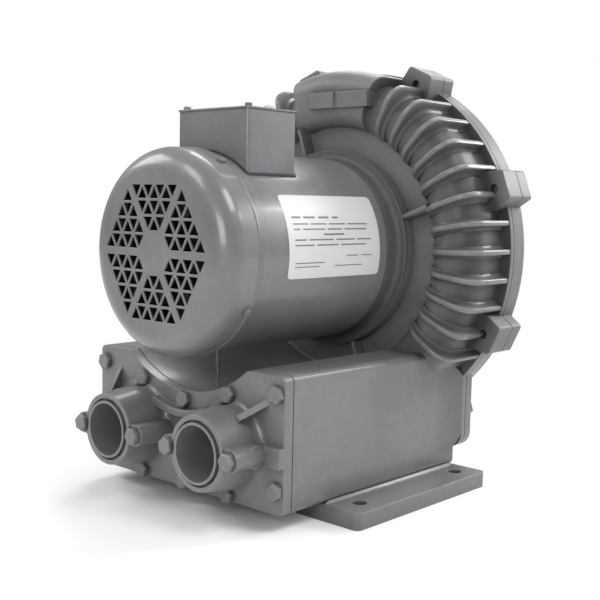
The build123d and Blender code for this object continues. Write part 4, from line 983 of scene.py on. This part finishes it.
@dataclass
class Fasteners:
    """All hexagon bolts seen from outside, with chamfered heads and washer faces.

    The washer's and chamfer's heights are shares of the head's, the washer's radius is a share of the width
    across flats, and the chamfer's top a share of the corner's radius.
    """

    front: tuple[float, float, float] = (math.radians(90), 0.0, 0.0)
    back: tuple[float, float, float] = (math.radians(-90), 0.0, 0.0)
    upward: tuple[float, float, float] = (0.0, 0.0, 0.0)
    seed: int = 7
    plate_front: float = -139.5
    plate_places: tuple[tuple[float, float], ...] = (
        (0.0, 88.4), (52.5, 99.5), (105.5, 107.0), (105.5, 32.4), (53.0, 19.5),
        (0.0, 19.5), (-53.0, 19.5), (-105.5, 32.4), (-105.5, 107.0), (-52.5, 99.5),
    )
    port_x: float = 55.9
    port_z: float = 58.9
    port_lug_reach: float = 34.5
    port_lug_front: float = -175.2
    lug_circle: float = 166.0
    lug_pitch: float = 45.0
    lug_back: float = 108.5
    rear_places: tuple[tuple[float, float, float], ...] = (
        (-60.0, 103.0, 38.0), (60.0, 103.0, 38.0), (-114.6, 103.0, 64.0), (114.6, 103.0, 64.0),
    )
    cover_screw_circle: float = 84.4
    cover_screw_y: float = -142.0
    cover_screw_angle: float = -30.0
    lid_places: tuple[tuple[float, float, float], ...] = ((-25.0, -118.2, 326.1), (47.5, -118.2, 326.1))
    washer_height: float = 0.08
    washer_radius: float = 0.49
    washer_sides: int = 28
    chamfer_height: float = 0.2
    chamfer_top: float = 0.84
    shank_sides: int = 16

    @staticmethod
    def around(radius: float, y: float, turn: float) -> tuple[float, float, float]:
        """Find a place on a circle about the shaft.

        Args:
            radius: The circle's radius.
            y: Its station.
            turn: Angle from the horizontal in radians.

        Returns:
            The place.
        """
        return (radius * math.cos(turn), y, SHAFT_HEIGHT + radius * math.sin(turn))

    def groups(self) -> list[BoltGroup]:
        """List the groups of bolts.

        Returns:
            The groups.
        """
        lugs = [math.radians(LUG_ANGLE + self.lug_pitch * step) for step in (-1, 0, 1, 2, 3, 4)]
        ports = [
            (side * self.port_x + out * self.port_lug_reach, self.port_lug_front, self.port_z)
            for side in (-1, 1) for out in (-1, 1)
        ]
        corners = [math.radians(self.cover_screw_angle + 90 * step) for step in range(4)]
        return [
            *(
                BoltGroup(
                    f"fan_cover_screw_{number}",
                    (self.around(self.cover_screw_circle, self.cover_screw_y, turn),),
                    (0.0, math.radians(90) - turn, 0.0),
                    flats=6.5, head=2.6, shank=1.9, length=5.0,
                    stands_for=("fan_cover_screws",) if number == 0 else (),
                )
                for number, turn in enumerate(corners)
            ),
            BoltGroup(
                "lid_screw_heads", self.lid_places, self.upward, flats=5.5, head=3.0, shank=1.9, length=10.0,
                stands_for=("conduit_lid_screws",),
            ),
            BoltGroup(
                "plate_bolts", tuple((x, self.plate_front, z) for x, z in self.plate_places), self.front,
                stands_for=("manifold_bolts",),
            ),
            BoltGroup("port_lug_bolts", tuple(ports), self.front, stands_for=("port_bolts",)),
            BoltGroup(
                "ring_bolts", tuple(self.around(self.lug_circle, self.lug_back, turn) for turn in lugs), self.back,
                length=29.0, stands_for=("cover_bolts",),
            ),
            BoltGroup("rear_plate_bolts", self.rear_places, self.back, length=20.0),
        ]

    def tree(self) -> GeometryTree:
        """Tree that sets a bolt on every vertex.

        Returns:
            The tree.
        """
        tree = GeometryTree(
            "hex_bolts",
            {
                "Flats": (SocketKind.FLOAT, BoltGroup.flats * MM),
                "Head": (SocketKind.FLOAT, BoltGroup.head * MM),
                "Shank": (SocketKind.FLOAT, BoltGroup.shank * MM),
                "Length": (SocketKind.FLOAT, BoltGroup.length * MM),
                "Tilt": (SocketKind.VECTOR, self.upward),
                "Seed": (SocketKind.INTEGER, self.seed),
            },
        )
        start = tree.start.outputs
        flats, head, shank, length = start["Flats"], start["Head"], start["Shank"], start["Length"]
        corner = tree.math("DIVIDE", flats, math.sqrt(3))
        washer = tree.math("MULTIPLY", head, self.washer_height)
        chamfer = tree.math("MULTIPLY", head, self.chamfer_height)
        prism = tree.math("SUBTRACT", tree.math("SUBTRACT", head, chamfer), washer)
        top = tree.math("MULTIPLY", corner, self.chamfer_top)
        below = tree.math("MULTIPLY", length, -1.0)
        parts = tree.add("GeometryNodeJoinGeometry")
        # Kind, sides, radius, top radius of a cone, height, base
        pieces = (
            ("Cylinder", self.washer_sides, tree.math("MULTIPLY", flats, self.washer_radius), None, washer, 0.0),
            ("Cylinder", 6, corner, None, prism, washer),
            ("Cone", 6, corner, top, chamfer, tree.math("ADD", washer, prism)),
            ("Cylinder", self.shank_sides, shank, None, length, below),
        )
        for kind, sides, radius, narrow, height, base in pieces:
            solid = tree.add(f"GeometryNodeMesh{kind}")
            tree.feed(solid, "Vertices", sides)
            tree.feed(solid, "Depth", height)
            if narrow:
                tree.feed(solid, "Radius Bottom", radius)
                tree.feed(solid, "Radius Top", narrow)
                middle = base
            else:
                tree.feed(solid, "Radius", radius)
                middle = tree.math("ADD", base, tree.math("MULTIPLY", height, 0.5))
            tree.tree.links.new(tree.lifted(solid.outputs["Mesh"], middle), parts.inputs[0])
        copies = tree.add("GeometryNodeInstanceOnPoints")
        tree.feed(copies, "Points", start["Geometry"])
        tree.feed(copies, "Instance", parts.outputs[0])
        tree.feed(copies, "Rotation", start["Tilt"])
        spin = tree.add("FunctionNodeRandomValue", data_type="FLOAT")
        spin.inputs[2].default_value = 0.0
        spin.inputs[3].default_value = math.radians(60)
        tree.feed(spin, "Seed", start["Seed"])
        turn = tree.add("ShaderNodeCombineXYZ")
        tree.feed(turn, "Z", spin.outputs[1])
        turned = tree.add("GeometryNodeRotateInstances")
        tree.feed(turned, "Instances", copies.outputs[0])
        tree.feed(turned, "Rotation", turn.outputs[0])
        turned.inputs["Local Space"].default_value = True
        tree.close(turned.outputs[0])
        return tree

    def build(self) -> None:
        """Build every group."""
        tree = self.tree()
        for number, group in enumerate(self.groups()):
            mesh = bpy.data.meshes.new(group.name)
            mesh.from_pydata([tuple(value * MM for value in place) for place in group.places], [], [])
            obj = new_object(group.name, mesh)
            tree.run(
                obj,
                group.finish.material(),
                Flats=group.flats * MM,
                Head=group.head * MM,
                Shank=group.shank * MM,
                Length=group.length * MM,
                Tilt=group.tilt,
                Seed=self.seed + number,
            )
            hand_over(obj, group.finish, stands_for=group.stands_for)


@dataclass
class Castings:
    """Smooth-shaded copies of the outer nodes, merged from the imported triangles.

    Each node has its finish and the angle in degrees above which an edge stays sharp. The other fields find
    the corners of the housing's flare and webs, and say where they go.
    """

    nodes: dict[str, tuple[Finish, float]] = field(
        default_factory=lambda: {
            "blower_housing": (Finish.HOUSING_PAINT, 28.0),
            "housing_cover": (Finish.HOUSING_PAINT, 28.0),
            "manifold_cover": (Finish.HOUSING_PAINT, 28.0),
            "motor_frame": (Finish.MOTOR_PAINT, 30.0),
            "fan_end_bell": (Finish.MOTOR_PAINT, 30.0),
            "drive_end_bell": (Finish.MOTOR_PAINT, 30.0),
            "fan_cover": (Finish.MOTOR_PAINT, 40.0),
            "conduit_box": (Finish.MOTOR_PAINT, 30.0),
            "conduit_box_lid": (Finish.MOTOR_PAINT, 30.0),
            "inlet_tube": (Finish.MOTOR_PAINT, 30.0),
            "outlet_tube": (Finish.MOTOR_PAINT, 30.0),
            "impeller": (Finish.CAST_ALUMINIUM, 30.0),
        }
    )
    merge_distance: float = 0.001 * MM
    near: float = 0.05
    flare_reach: tuple[float, float] = (113.1, 122.1)
    flare_span: tuple[float, float] = (57.9, 88.6)
    flare_bottom: float = 29.0
    flare_top: float = 97.5
    flange_half_width: float = 122.0
    flange_corner: float = 15.0
    flange_front: float = 88.5
    ring_inside: float = 156.5
    rise_length: float = 8.0
    seat_front: float = 36.5
    web_span: tuple[float, float] = (90.0, 120.0)
    web_flank: tuple[float, float] = (3.5, 4.5)
    web_front: float = 1.5

    def ease_housing(self, work: bmesh.types.BMesh) -> None:
        """Round the ends of the flared box sides and give the webs at the motor seat their draft.

        Args:
            work: The housing's merged mesh in metres.
        """
        web_turns = [math.radians(LUG_ANGLE + 90 * step) for step in range(4)]
        corner = self.flange_corner
        for vertex in work.verts:
            x, y, z = vertex.co / MM
            reach = abs(x)
            if self.flare_reach[0] < reach < self.flare_reach[1] and self.flare_span[0] < y < self.flare_span[1]:
                if abs(z - self.flare_bottom) < self.near:
                    past = min(corner, reach - (self.flange_half_width - corner))
                    vertex.co.z = (self.flare_bottom + corner - math.sqrt(corner ** 2 - past ** 2)) * MM
                elif abs(z - self.flare_top) < self.near:
                    under_ring = SHAFT_HEIGHT - math.sqrt(self.ring_inside ** 2 - reach ** 2)
                    share = min(1.0, (self.flange_front - y) / self.rise_length)
                    vertex.co.z = (self.flare_top + (under_ring - self.flare_top) * share) * MM
            if abs(y - self.seat_front) < self.near:
                for turn in web_turns:
                    along = x * math.cos(turn) + (z - SHAFT_HEIGHT) * math.sin(turn)
                    aside = (z - SHAFT_HEIGHT) * math.cos(turn) - x * math.sin(turn)
                    on_flank = self.web_flank[0] < abs(aside) < self.web_flank[1]
                    if on_flank and self.web_span[0] < along < self.web_span[1]:
                        shift = math.copysign(self.web_front, aside) - aside
                        vertex.co.x -= shift * math.sin(turn) * MM
                        vertex.co.z += shift * math.cos(turn) * MM

    def build(self, frame: dict) -> None:
        """Copy, merge and smooth each node.

        Args:
            frame: The loaded frame.
        """
        owners = {
            node: body for body, nodes in frame["record"]["behaviour"]["bodies"].items() for node in nodes
        }
        for node, (finish, angle) in self.nodes.items():
            mesh = frame["nodes"][node].data.copy()
            if mesh.has_custom_normals:
                mesh.normals_split_custom_set_from_vertices([(0.0, 0.0, 0.0)] * len(mesh.vertices))
            work = bmesh.new()
            work.from_mesh(mesh)
            bmesh.ops.remove_doubles(work, verts=work.verts, dist=self.merge_distance)
            if node == "blower_housing":
                self.ease_housing(work)
            work.to_mesh(mesh)
            work.free()
            smooth_by_angle(mesh, angle)
            obj = new_object(node + "_skin", mesh)
            hand_over(obj, finish, body=owners[node], stands_for=(node,))


@dataclass
class Details:
    """Small forms between the castings: seams, coves at the feet, the seat's flare, the motor's prop.

    The bead and the seat's flare are pairs of station and radius, the foot's stations go with shares of the
    cove's radius, and the prop's outline is pairs of height and radius.
    """

    turns: int = 128
    cover_bead: tuple[tuple[float, float], ...] = (
        (-140.6, 83.4), (-140.6, 84.35), (-139.9, 84.8), (-139.0, 85.05), (-138.1, 84.9), (-137.6, 84.5),
        (-137.5, 83.9), (-137.5, 83.2),
    )
    seat_flare: tuple[tuple[float, float], ...] = (
        (20.4, 80.0), (20.4, 82.2), (28.0, 82.3), (32.5, 82.5), (34.6, 83.2), (35.8, 84.6), (36.2, 86.5),
        (36.3, 91.0), (36.8, 91.3), (38.6, 91.3), (38.6, 88.0), (37.0, 80.0),
    )
    box_side: float = 113.2
    foot_top: float = 13.65
    foot_stations: tuple[tuple[float, float], ...] = ((-91.0, 0.1), (-86.0, 1.0), (84.0, 1.0), (88.8, 0.1))
    cove: float = 2.2
    cove_sunk: float = 0.6
    cove_steps: int = 6
    flare_start: float = 58.0
    flare_radius: float = 57.26
    patch_turns: tuple[float, float] = (16.0, 31.0)
    patch_heights: tuple[float, float] = (55.0, 73.0)
    patch_cells: int = 12
    patch_lift: float = 0.35
    patch_sunk: float = 0.08
    patch_steepness: float = 2.2
    patch_depth: float = 1.2
    prop_y: float = -103.0
    prop_turns: int = 24
    prop_outline: tuple[tuple[float, float], ...] = (
        (94.6, 2.9), (96.0, 2.9), (96.4, 2.4), (96.6, 1.25), (111.4, 1.25), (112.0, 1.85), (127.4, 1.85),
    )

    def lathe(self, name: str, profile: Sequence[tuple[float, float]]) -> bpy.types.Object:
        """Turn a closed profile about the shaft.

        Args:
            name: The piece's name.
            profile: Pairs of station and radius.

        Returns:
            The object.
        """
        points, faces = [], []
        size = len(profile)
        for step in range(self.turns):
            turn = 2 * math.pi * step / self.turns
            for y, radius in profile:
                points.append((radius * math.cos(turn) * MM, y * MM, SHAFT_Z + radius * math.sin(turn) * MM))
        for step in range(self.turns):
            faces.extend(band(step * size, (step + 1) % self.turns * size, size))
        return new_object(name, mesh_from(name, points, faces))

    def prop(self) -> bpy.types.Object:
        """Turn the thin upright pin between the cradle and the motor's shell.

        Returns:
            The object.
        """
        points, faces = [], []
        size, rows = self.prop_turns, len(self.prop_outline)
        for height, radius in self.prop_outline:
            for step in range(size):
                turn = 2 * math.pi * step / size
                y = self.prop_y + radius * math.sin(turn)
                points.append((radius * math.cos(turn) * MM, y * MM, height * MM))
        for row in range(rows - 1):
            faces.extend(band(row * size, (row + 1) * size, size))
        faces.append(list(range(size)))
        faces.append(list(range((rows - 1) * size, rows * size)))
        return new_object("motor_prop", mesh_from("motor_prop", points, faces))

    def foot_coves(self) -> bpy.types.Object:
        """Build the fillets between the sides of the box and the tops of the feet.

        Returns:
            The object.
        """
        points, faces = [], []
        for side in (-1, 1):
            base = len(points)
            for y, share in self.foot_stations:
                cove = self.cove * share
                outline = [(-self.cove_sunk, -self.cove_sunk), (-self.cove_sunk, cove)]
                for step in range(self.cove_steps + 1):
                    turn = math.radians(180 + 90 * step / self.cove_steps)
                    outline.append((cove * (1 + math.cos(turn)), cove * (1 + math.sin(turn))))
                outline.append((cove, -self.cove_sunk))
                for out, lift in outline:
                    points.append((side * (self.box_side + out) * MM, y * MM, (self.foot_top + lift) * MM))
            size, rows = len(outline), len(self.foot_stations)
            for row in range(rows - 1):
                faces.extend(band(base + row * size, base + (row + 1) * size, size))
            faces.append(list(range(base, base + size)))
            faces.append(list(range(base + (rows - 1) * size, base + rows * size)))
        return new_object("foot_coves", mesh_from("foot_coves", points, faces))

    def flare_patches(self) -> bpy.types.Object:
        """Build the paint-filled spots over the blind ends of the two side bolts, low pillows on the flare.

        Returns:
            The object.
        """
        points, faces = [], []
        count = self.patch_cells
        (start, end), (low, high) = self.patch_turns, self.patch_heights
        for side in (-1, 1):
            base = len(points)
            for row in range(count + 1):
                for column in range(count + 1):
                    across, upward = column / count, row / count
                    rise = math.sin(math.pi * across) * math.sin(math.pi * upward)
                    lift = self.patch_lift * min(1.0, self.patch_steepness * rise) - self.patch_sunk
                    turn = math.radians(start + (end - start) * across)
                    radius = self.flare_radius - lift
                    x = self.box_side + self.flare_radius - radius * math.cos(turn)
                    y = self.flare_start + radius * math.sin(turn)
                    z = low + (high - low) * upward
                    points.append((side * x * MM, y * MM, z * MM))
            for row in range(count):
                for column in range(count):
                    first = base + row * (count + 1) + column
                    face = [first, first + 1, first + count + 2, first + count + 1]
                    faces.append(face if side > 0 else face[::-1])
        obj = new_object("side_bolt_ends", mesh_from("side_bolt_ends", points, faces))
        thicken(obj, self.patch_depth)
        return obj

    def build(self) -> None:
        """Build every small form."""
        for obj, finish, slot, angle in (
            (self.lathe("fan_cover_bead", self.cover_bead), Finish.MOTOR_PAINT, Finish.MOTOR_PAINT, 60),
            # The seat's flare takes the darker paint as painted shade
            (self.lathe("seat_flare", self.seat_flare), Finish.SEAT_PAINT, Finish.MOTOR_PAINT, 35),
            (self.foot_coves(), Finish.HOUSING_PAINT, Finish.HOUSING_PAINT, 40),
            (self.flare_patches(), Finish.HOUSING_PAINT, Finish.HOUSING_PAINT, 60),
            (self.prop(), Finish.PAINTED_BOLTS, Finish.PAINTED_BOLTS, 35),
        ):
            smooth_by_angle(obj.data, angle)
            hand_over(obj, finish)


@dataclass
class RatingPlate:
    """Blank rating plate wrapped on the shell: a thin film with plain bars in place of any data."""

    shell_radius: float = 82.5
    front: float = -105.0
    back: float = 10.0
    low_angle: float = -13.0
    high_angle: float = 35.5
    corner: float = 3.5
    corner_steps: int = 5
    lift: float = 0.15
    film_share: float = 0.9
    columns: int = 64
    bar_lift: float = 0.2
    bar_depth: float = 0.05
    bar_column: float = 2.0
    margin: float = 4.0
    end_share: float = 0.0005
    sharp_angle: float = 30.0
    # Share of the way down, thickness, and where the bars start and end as shares of the way across
    rows: tuple[tuple[float, float, tuple[tuple[float, float], ...]], ...] = (
        (0.26, 1.6, ((0.03, 0.13), (0.16, 0.29), (0.33, 0.45), (0.49, 0.56))),
        (0.35, 1.1, ((0.03, 0.20), (0.23, 0.41), (0.44, 0.63), (0.66, 0.90))),
        (0.42, 1.1, ((0.03, 0.10), (0.13, 0.38), (0.41, 0.58), (0.61, 0.88))),
        (0.49, 1.3, ((0.36, 0.60),)),
        (0.56, 1.1, ((0.03, 0.16), (0.19, 0.47), (0.50, 0.72), (0.75, 0.93))),
        (0.63, 1.1, ((0.03, 0.24), (0.27, 0.52), (0.55, 0.86))),
        (0.78, 0.8, ((0.62, 0.76), (0.80, 0.93))),
        (0.86, 0.8, ((0.03, 0.36),)),
        (0.91, 0.8, ((0.03, 0.30), (0.48, 0.82))),
    )

    def point(self, y: float, arc: float, radius: float) -> tuple[float, float, float]:
        """Place a point on the wrapped plate.

        Args:
            y: Station in millimetres.
            arc: Length round the shell from the horizontal, in millimetres.
            radius: Radius in millimetres.

        Returns:
            The point in metres.
        """
        turn = arc / self.shell_radius
        return (radius * math.cos(turn) * MM, y * MM, SHAFT_Z + radius * math.sin(turn) * MM)

    def patch(self, outline: Sequence[tuple[float, float]], radius: float, columns: int) -> tuple[list, list]:
        """Fill a convex outline with strips that follow the shell.

        Args:
            outline: Corners as pairs of station and arc length, going round.
            radius: Radius of the patch.
            columns: Number of strips round the shell.

        Returns:
            Points and faces.
        """
        low = min(arc for _, arc in outline)
        high = max(arc for _, arc in outline)
        points, faces = [], []
        for step in range(columns + 1):
            arc = low + (high - low) * (self.end_share + (1 - 2 * self.end_share) * step / columns)
            crossings = []
            for index, (y0, a0) in enumerate(outline):
                y1, a1 = outline[(index + 1) % len(outline)]
                if (a0 - arc) * (a1 - arc) <= 0 and a0 != a1:
                    crossings.append(y0 + (y1 - y0) * (arc - a0) / (a1 - a0))
            points.append(self.point(min(crossings), arc, radius))
            points.append(self.point(max(crossings), arc, radius))
        for step in range(columns):
            base = 2 * step
            faces.append([base, base + 1, base + 3, base + 2])
        return points, faces

    def film(self) -> bpy.types.Object:
        """Build the film with rounded corners.

        Returns:
            The object.
        """
        low = math.radians(self.low_angle) * self.shell_radius
        high = math.radians(self.high_angle) * self.shell_radius
        outline = []
        for y, arc, turn in (
            (self.back - self.corner, high - self.corner, 0),
            (self.front + self.corner, high - self.corner, 90),
            (self.front + self.corner, low + self.corner, 180),
            (self.back - self.corner, low + self.corner, 270),
        ):
            for step in range(self.corner_steps + 1):
                angle = math.radians(turn + 90 * step / self.corner_steps)
                outline.append((y + self.corner * math.cos(angle), arc + self.corner * math.sin(angle)))
        points, faces = self.patch(outline, self.shell_radius + self.lift, self.columns)
        return new_object("rating_plate", mesh_from("rating_plate", points, faces))

    def bars(self) -> bpy.types.Object:
        """Build the rows of plain bars that stand where such a plate carries its data.

        Returns:
            The object.
        """
        low = math.radians(self.low_angle) * self.shell_radius + self.margin
        high = math.radians(self.high_angle) * self.shell_radius - self.margin
        front, back = self.front + self.margin, self.back - self.margin
        points, faces = [], []
        for share, thick, spans in self.rows:
            arc = high - (high - low) * share
            below, above = arc - thick / 2, arc + thick / 2
            columns = max(1, round((above - below) / self.bar_column))
            for begin, finish in spans:
                y0 = front + (back - front) * begin
                y1 = front + (back - front) * finish
                corners = [(y0, below), (y1, below), (y1, above), (y0, above)]
                new_points, new_faces = self.patch(corners, self.shell_radius + self.bar_lift, columns)
                base = len(points)
                points.extend(new_points)
                faces.extend([[base + corner for corner in face] for face in new_faces])
        return new_object("rating_plate_bars", mesh_from("rating_plate_bars", points, faces))

    def build(self) -> None:
        """Build the film and its bars."""
        for obj, finish, depth in (
            (self.film(), Finish.PLATE_FILM, self.lift * self.film_share),
            (self.bars(), Finish.PLATE_PRINT, self.bar_depth),
        ):
            thicken(obj, depth)
            smooth_by_angle(obj.data, self.sharp_angle)
            hand_over(obj, finish)


@dataclass
class Studio:
    """Pale floor, soft lamps and the camera of the photograph, all in metres."""

    camera_place: tuple[float, float, float] = (0.61554, -0.67701, 0.25331)
    right: tuple[float, float, float] = (0.73782, 0.67467, 0.02107)
    up: tuple[float, float, float] = (-0.08253, 0.05918, 0.99483)
    back: tuple[float, float, float] = (0.66994, -0.73574, 0.09935)
    lens: float = 59.82
    sensor_width: float = 36.0
    clip_start: float = 0.01
    aim: tuple[float, float, float] = (0.0, 0.0, 0.2)
    # Name, place, side and power in watts
    lamps: tuple[tuple[str, tuple[float, float, float], float, float], ...] = (
        ("key", (0.95, 0.10, 1.45), 0.6, 10.5),
        ("back_top", (-0.45, 0.85, 1.35), 0.9, 16.0),
        ("back_right", (0.62, 1.30, 0.98), 0.50, 12.5),
        ("low_right", (0.80, 1.32, 0.68), 0.32, 4.0),
        ("side_strip", (1.05, 0.75, 1.05), 0.22, 1.6),
        ("front_top", (-0.35, -1.15, 1.45), 0.6, 7.2),
        ("left", (-1.15, -0.58, 1.05), 0.6, 7.2),
        ("fill", (0.80, -1.65, 0.75), 0.7, 11.0),
    )
    floor_colour: tuple[float, float, float] = (0.92, 0.92, 0.92)
    floor_roughness: float = 0.55
    floor_size: float = 6.0
    world_light: float = 0.32
    # The floor takes shadow near the first place and is white beyond the second reach from it
    shadow_centre: tuple[float, float] = (-0.10, -0.16)
    shadow_reach: tuple[float, float] = (0.16, 0.36)

    def floor(self) -> None:
        """Build the floor, which fades to white away from the object."""
        half = self.floor_size / 2
        corners = [(-half, -half, 0), (half, -half, 0), (half, half, 0), (-half, half, 0)]
        mesh = mesh_from("floor", corners, [[0, 1, 2, 3]])
        obj = new_object("floor", mesh)
        if mesh.polygons[0].normal.z < 0:
            mesh.flip_normals()
        material, tree, shader = start_material("floor_white")
        tree.feed(shader, "Base Color", shade(self.floor_colour))
        tree.feed(shader, "Roughness", self.floor_roughness)
        place = tree.add("ShaderNodeTexCoord")
        shifted = tree.add("ShaderNodeVectorMath", operation="SUBTRACT")
        tree.feed(shifted, 0, place.outputs["Object"])
        tree.feed(shifted, 1, (*self.shadow_centre, 0.0))
        reach = tree.add("ShaderNodeVectorMath", operation="LENGTH")
        tree.feed(reach, 0, shifted.outputs[0])
        fade = tree.ramp(reach.outputs["Value"], *self.shadow_reach, interpolation_type="SMOOTHSTEP")
        path = tree.add("ShaderNodeLightPath")
        seen = tree.math("MAXIMUM", path.outputs["Is Camera Ray"], path.outputs["Is Glossy Ray"])
        white = tree.add("ShaderNodeEmission")
        blend = tree.add("ShaderNodeMixShader")
        tree.feed(blend, 0, tree.math("MULTIPLY", fade, seen))
        tree.tree.links.new(shader.outputs[0], blend.inputs[1])
        tree.tree.links.new(white.outputs[0], blend.inputs[2])
        tree.tree.links.new(blend.outputs[0], material.node_tree.nodes["Material Output"].inputs[0])
        mesh.materials.append(material)

    def world(self) -> None:
        """Light the scene evenly, and show white to the camera."""
        world = bpy.data.worlds.new("studio")
        bpy.context.scene.world = world
        world.use_nodes = True
        tree = Tree(world.node_tree)
        path = tree.add("ShaderNodeLightPath")
        seen = tree.math("MAXIMUM", path.outputs["Is Camera Ray"], path.outputs["Is Transmission Ray"])
        background = world.node_tree.nodes["Background"]
        tree.feed(background, "Color", (1.0, 1.0, 1.0, 1.0))
        tree.feed(background, "Strength", tree.remap(seen, self.world_light, 1.0))

    def lamp(self, name: str, place: Sequence[float], size: float, power: float) -> None:
        """Place a square soft lamp.

        Args:
            name: The lamp's name.
            place: Where it stands.
            size: Its side.
            power: Its power in watts.
        """
        data = bpy.data.lights.new(name, "AREA")
        data.shape = "SQUARE"
        data.size = size
        data.energy = power
        lamp = bpy.data.objects.new(name, data)
        bpy.context.scene.collection.objects.link(lamp)
        facing = (Vector(self.aim) - Vector(place)).to_track_quat("-Z", "Y").to_matrix().to_4x4()
        lamp.matrix_world = Matrix.Translation(Vector(place)) @ facing

    def camera(self) -> None:
        """Place the camera."""
        data = bpy.data.cameras.new("photo_camera")
        data.sensor_width = self.sensor_width
        data.lens = self.lens
        data.clip_start = self.clip_start
        camera = bpy.data.objects.new("photo_camera", data)
        bpy.context.scene.collection.objects.link(camera)
        matrix = Matrix.Identity(4)
        for column, axis in enumerate((self.right, self.up, self.back, self.camera_place)):
            for row in range(3):
                matrix[row][column] = axis[row]
        camera.matrix_world = matrix
        bpy.context.scene.camera = camera

    def build(self) -> None:
        """Build floor, world, lamps and camera."""
        self.floor()
        self.world()
        for name, place, size, power in self.lamps:
            self.lamp(name, place, size, power)
        self.camera()
        bpy.context.scene.view_settings.view_transform = "Standard"


def dress_nodes(frame: dict) -> None:
    """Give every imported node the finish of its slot.

    Args:
        frame: The loaded frame.
    """
    for part in frame["record"]["subparts"]:
        obj = frame["nodes"][part["node"]]
        material = finish_of_slot(part["material_slot"]).material()
        if not obj.material_slots:
            obj.data.materials.append(material)
        for slot in obj.material_slots:
            slot.material = material


def main() -> None:
    """Load the frame, dress it and build every piece."""
    logging.basicConfig(level=logging.INFO, format="%(message)s")
    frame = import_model()
    clear_old_materials()
    Studio().build()
    dress_nodes(frame)
    Castings().build(frame)
    RibbedRing().build()
    Fasteners().build()
    Details().build()
    RatingPlate().build()


if __name__ == "__main__":
    main()
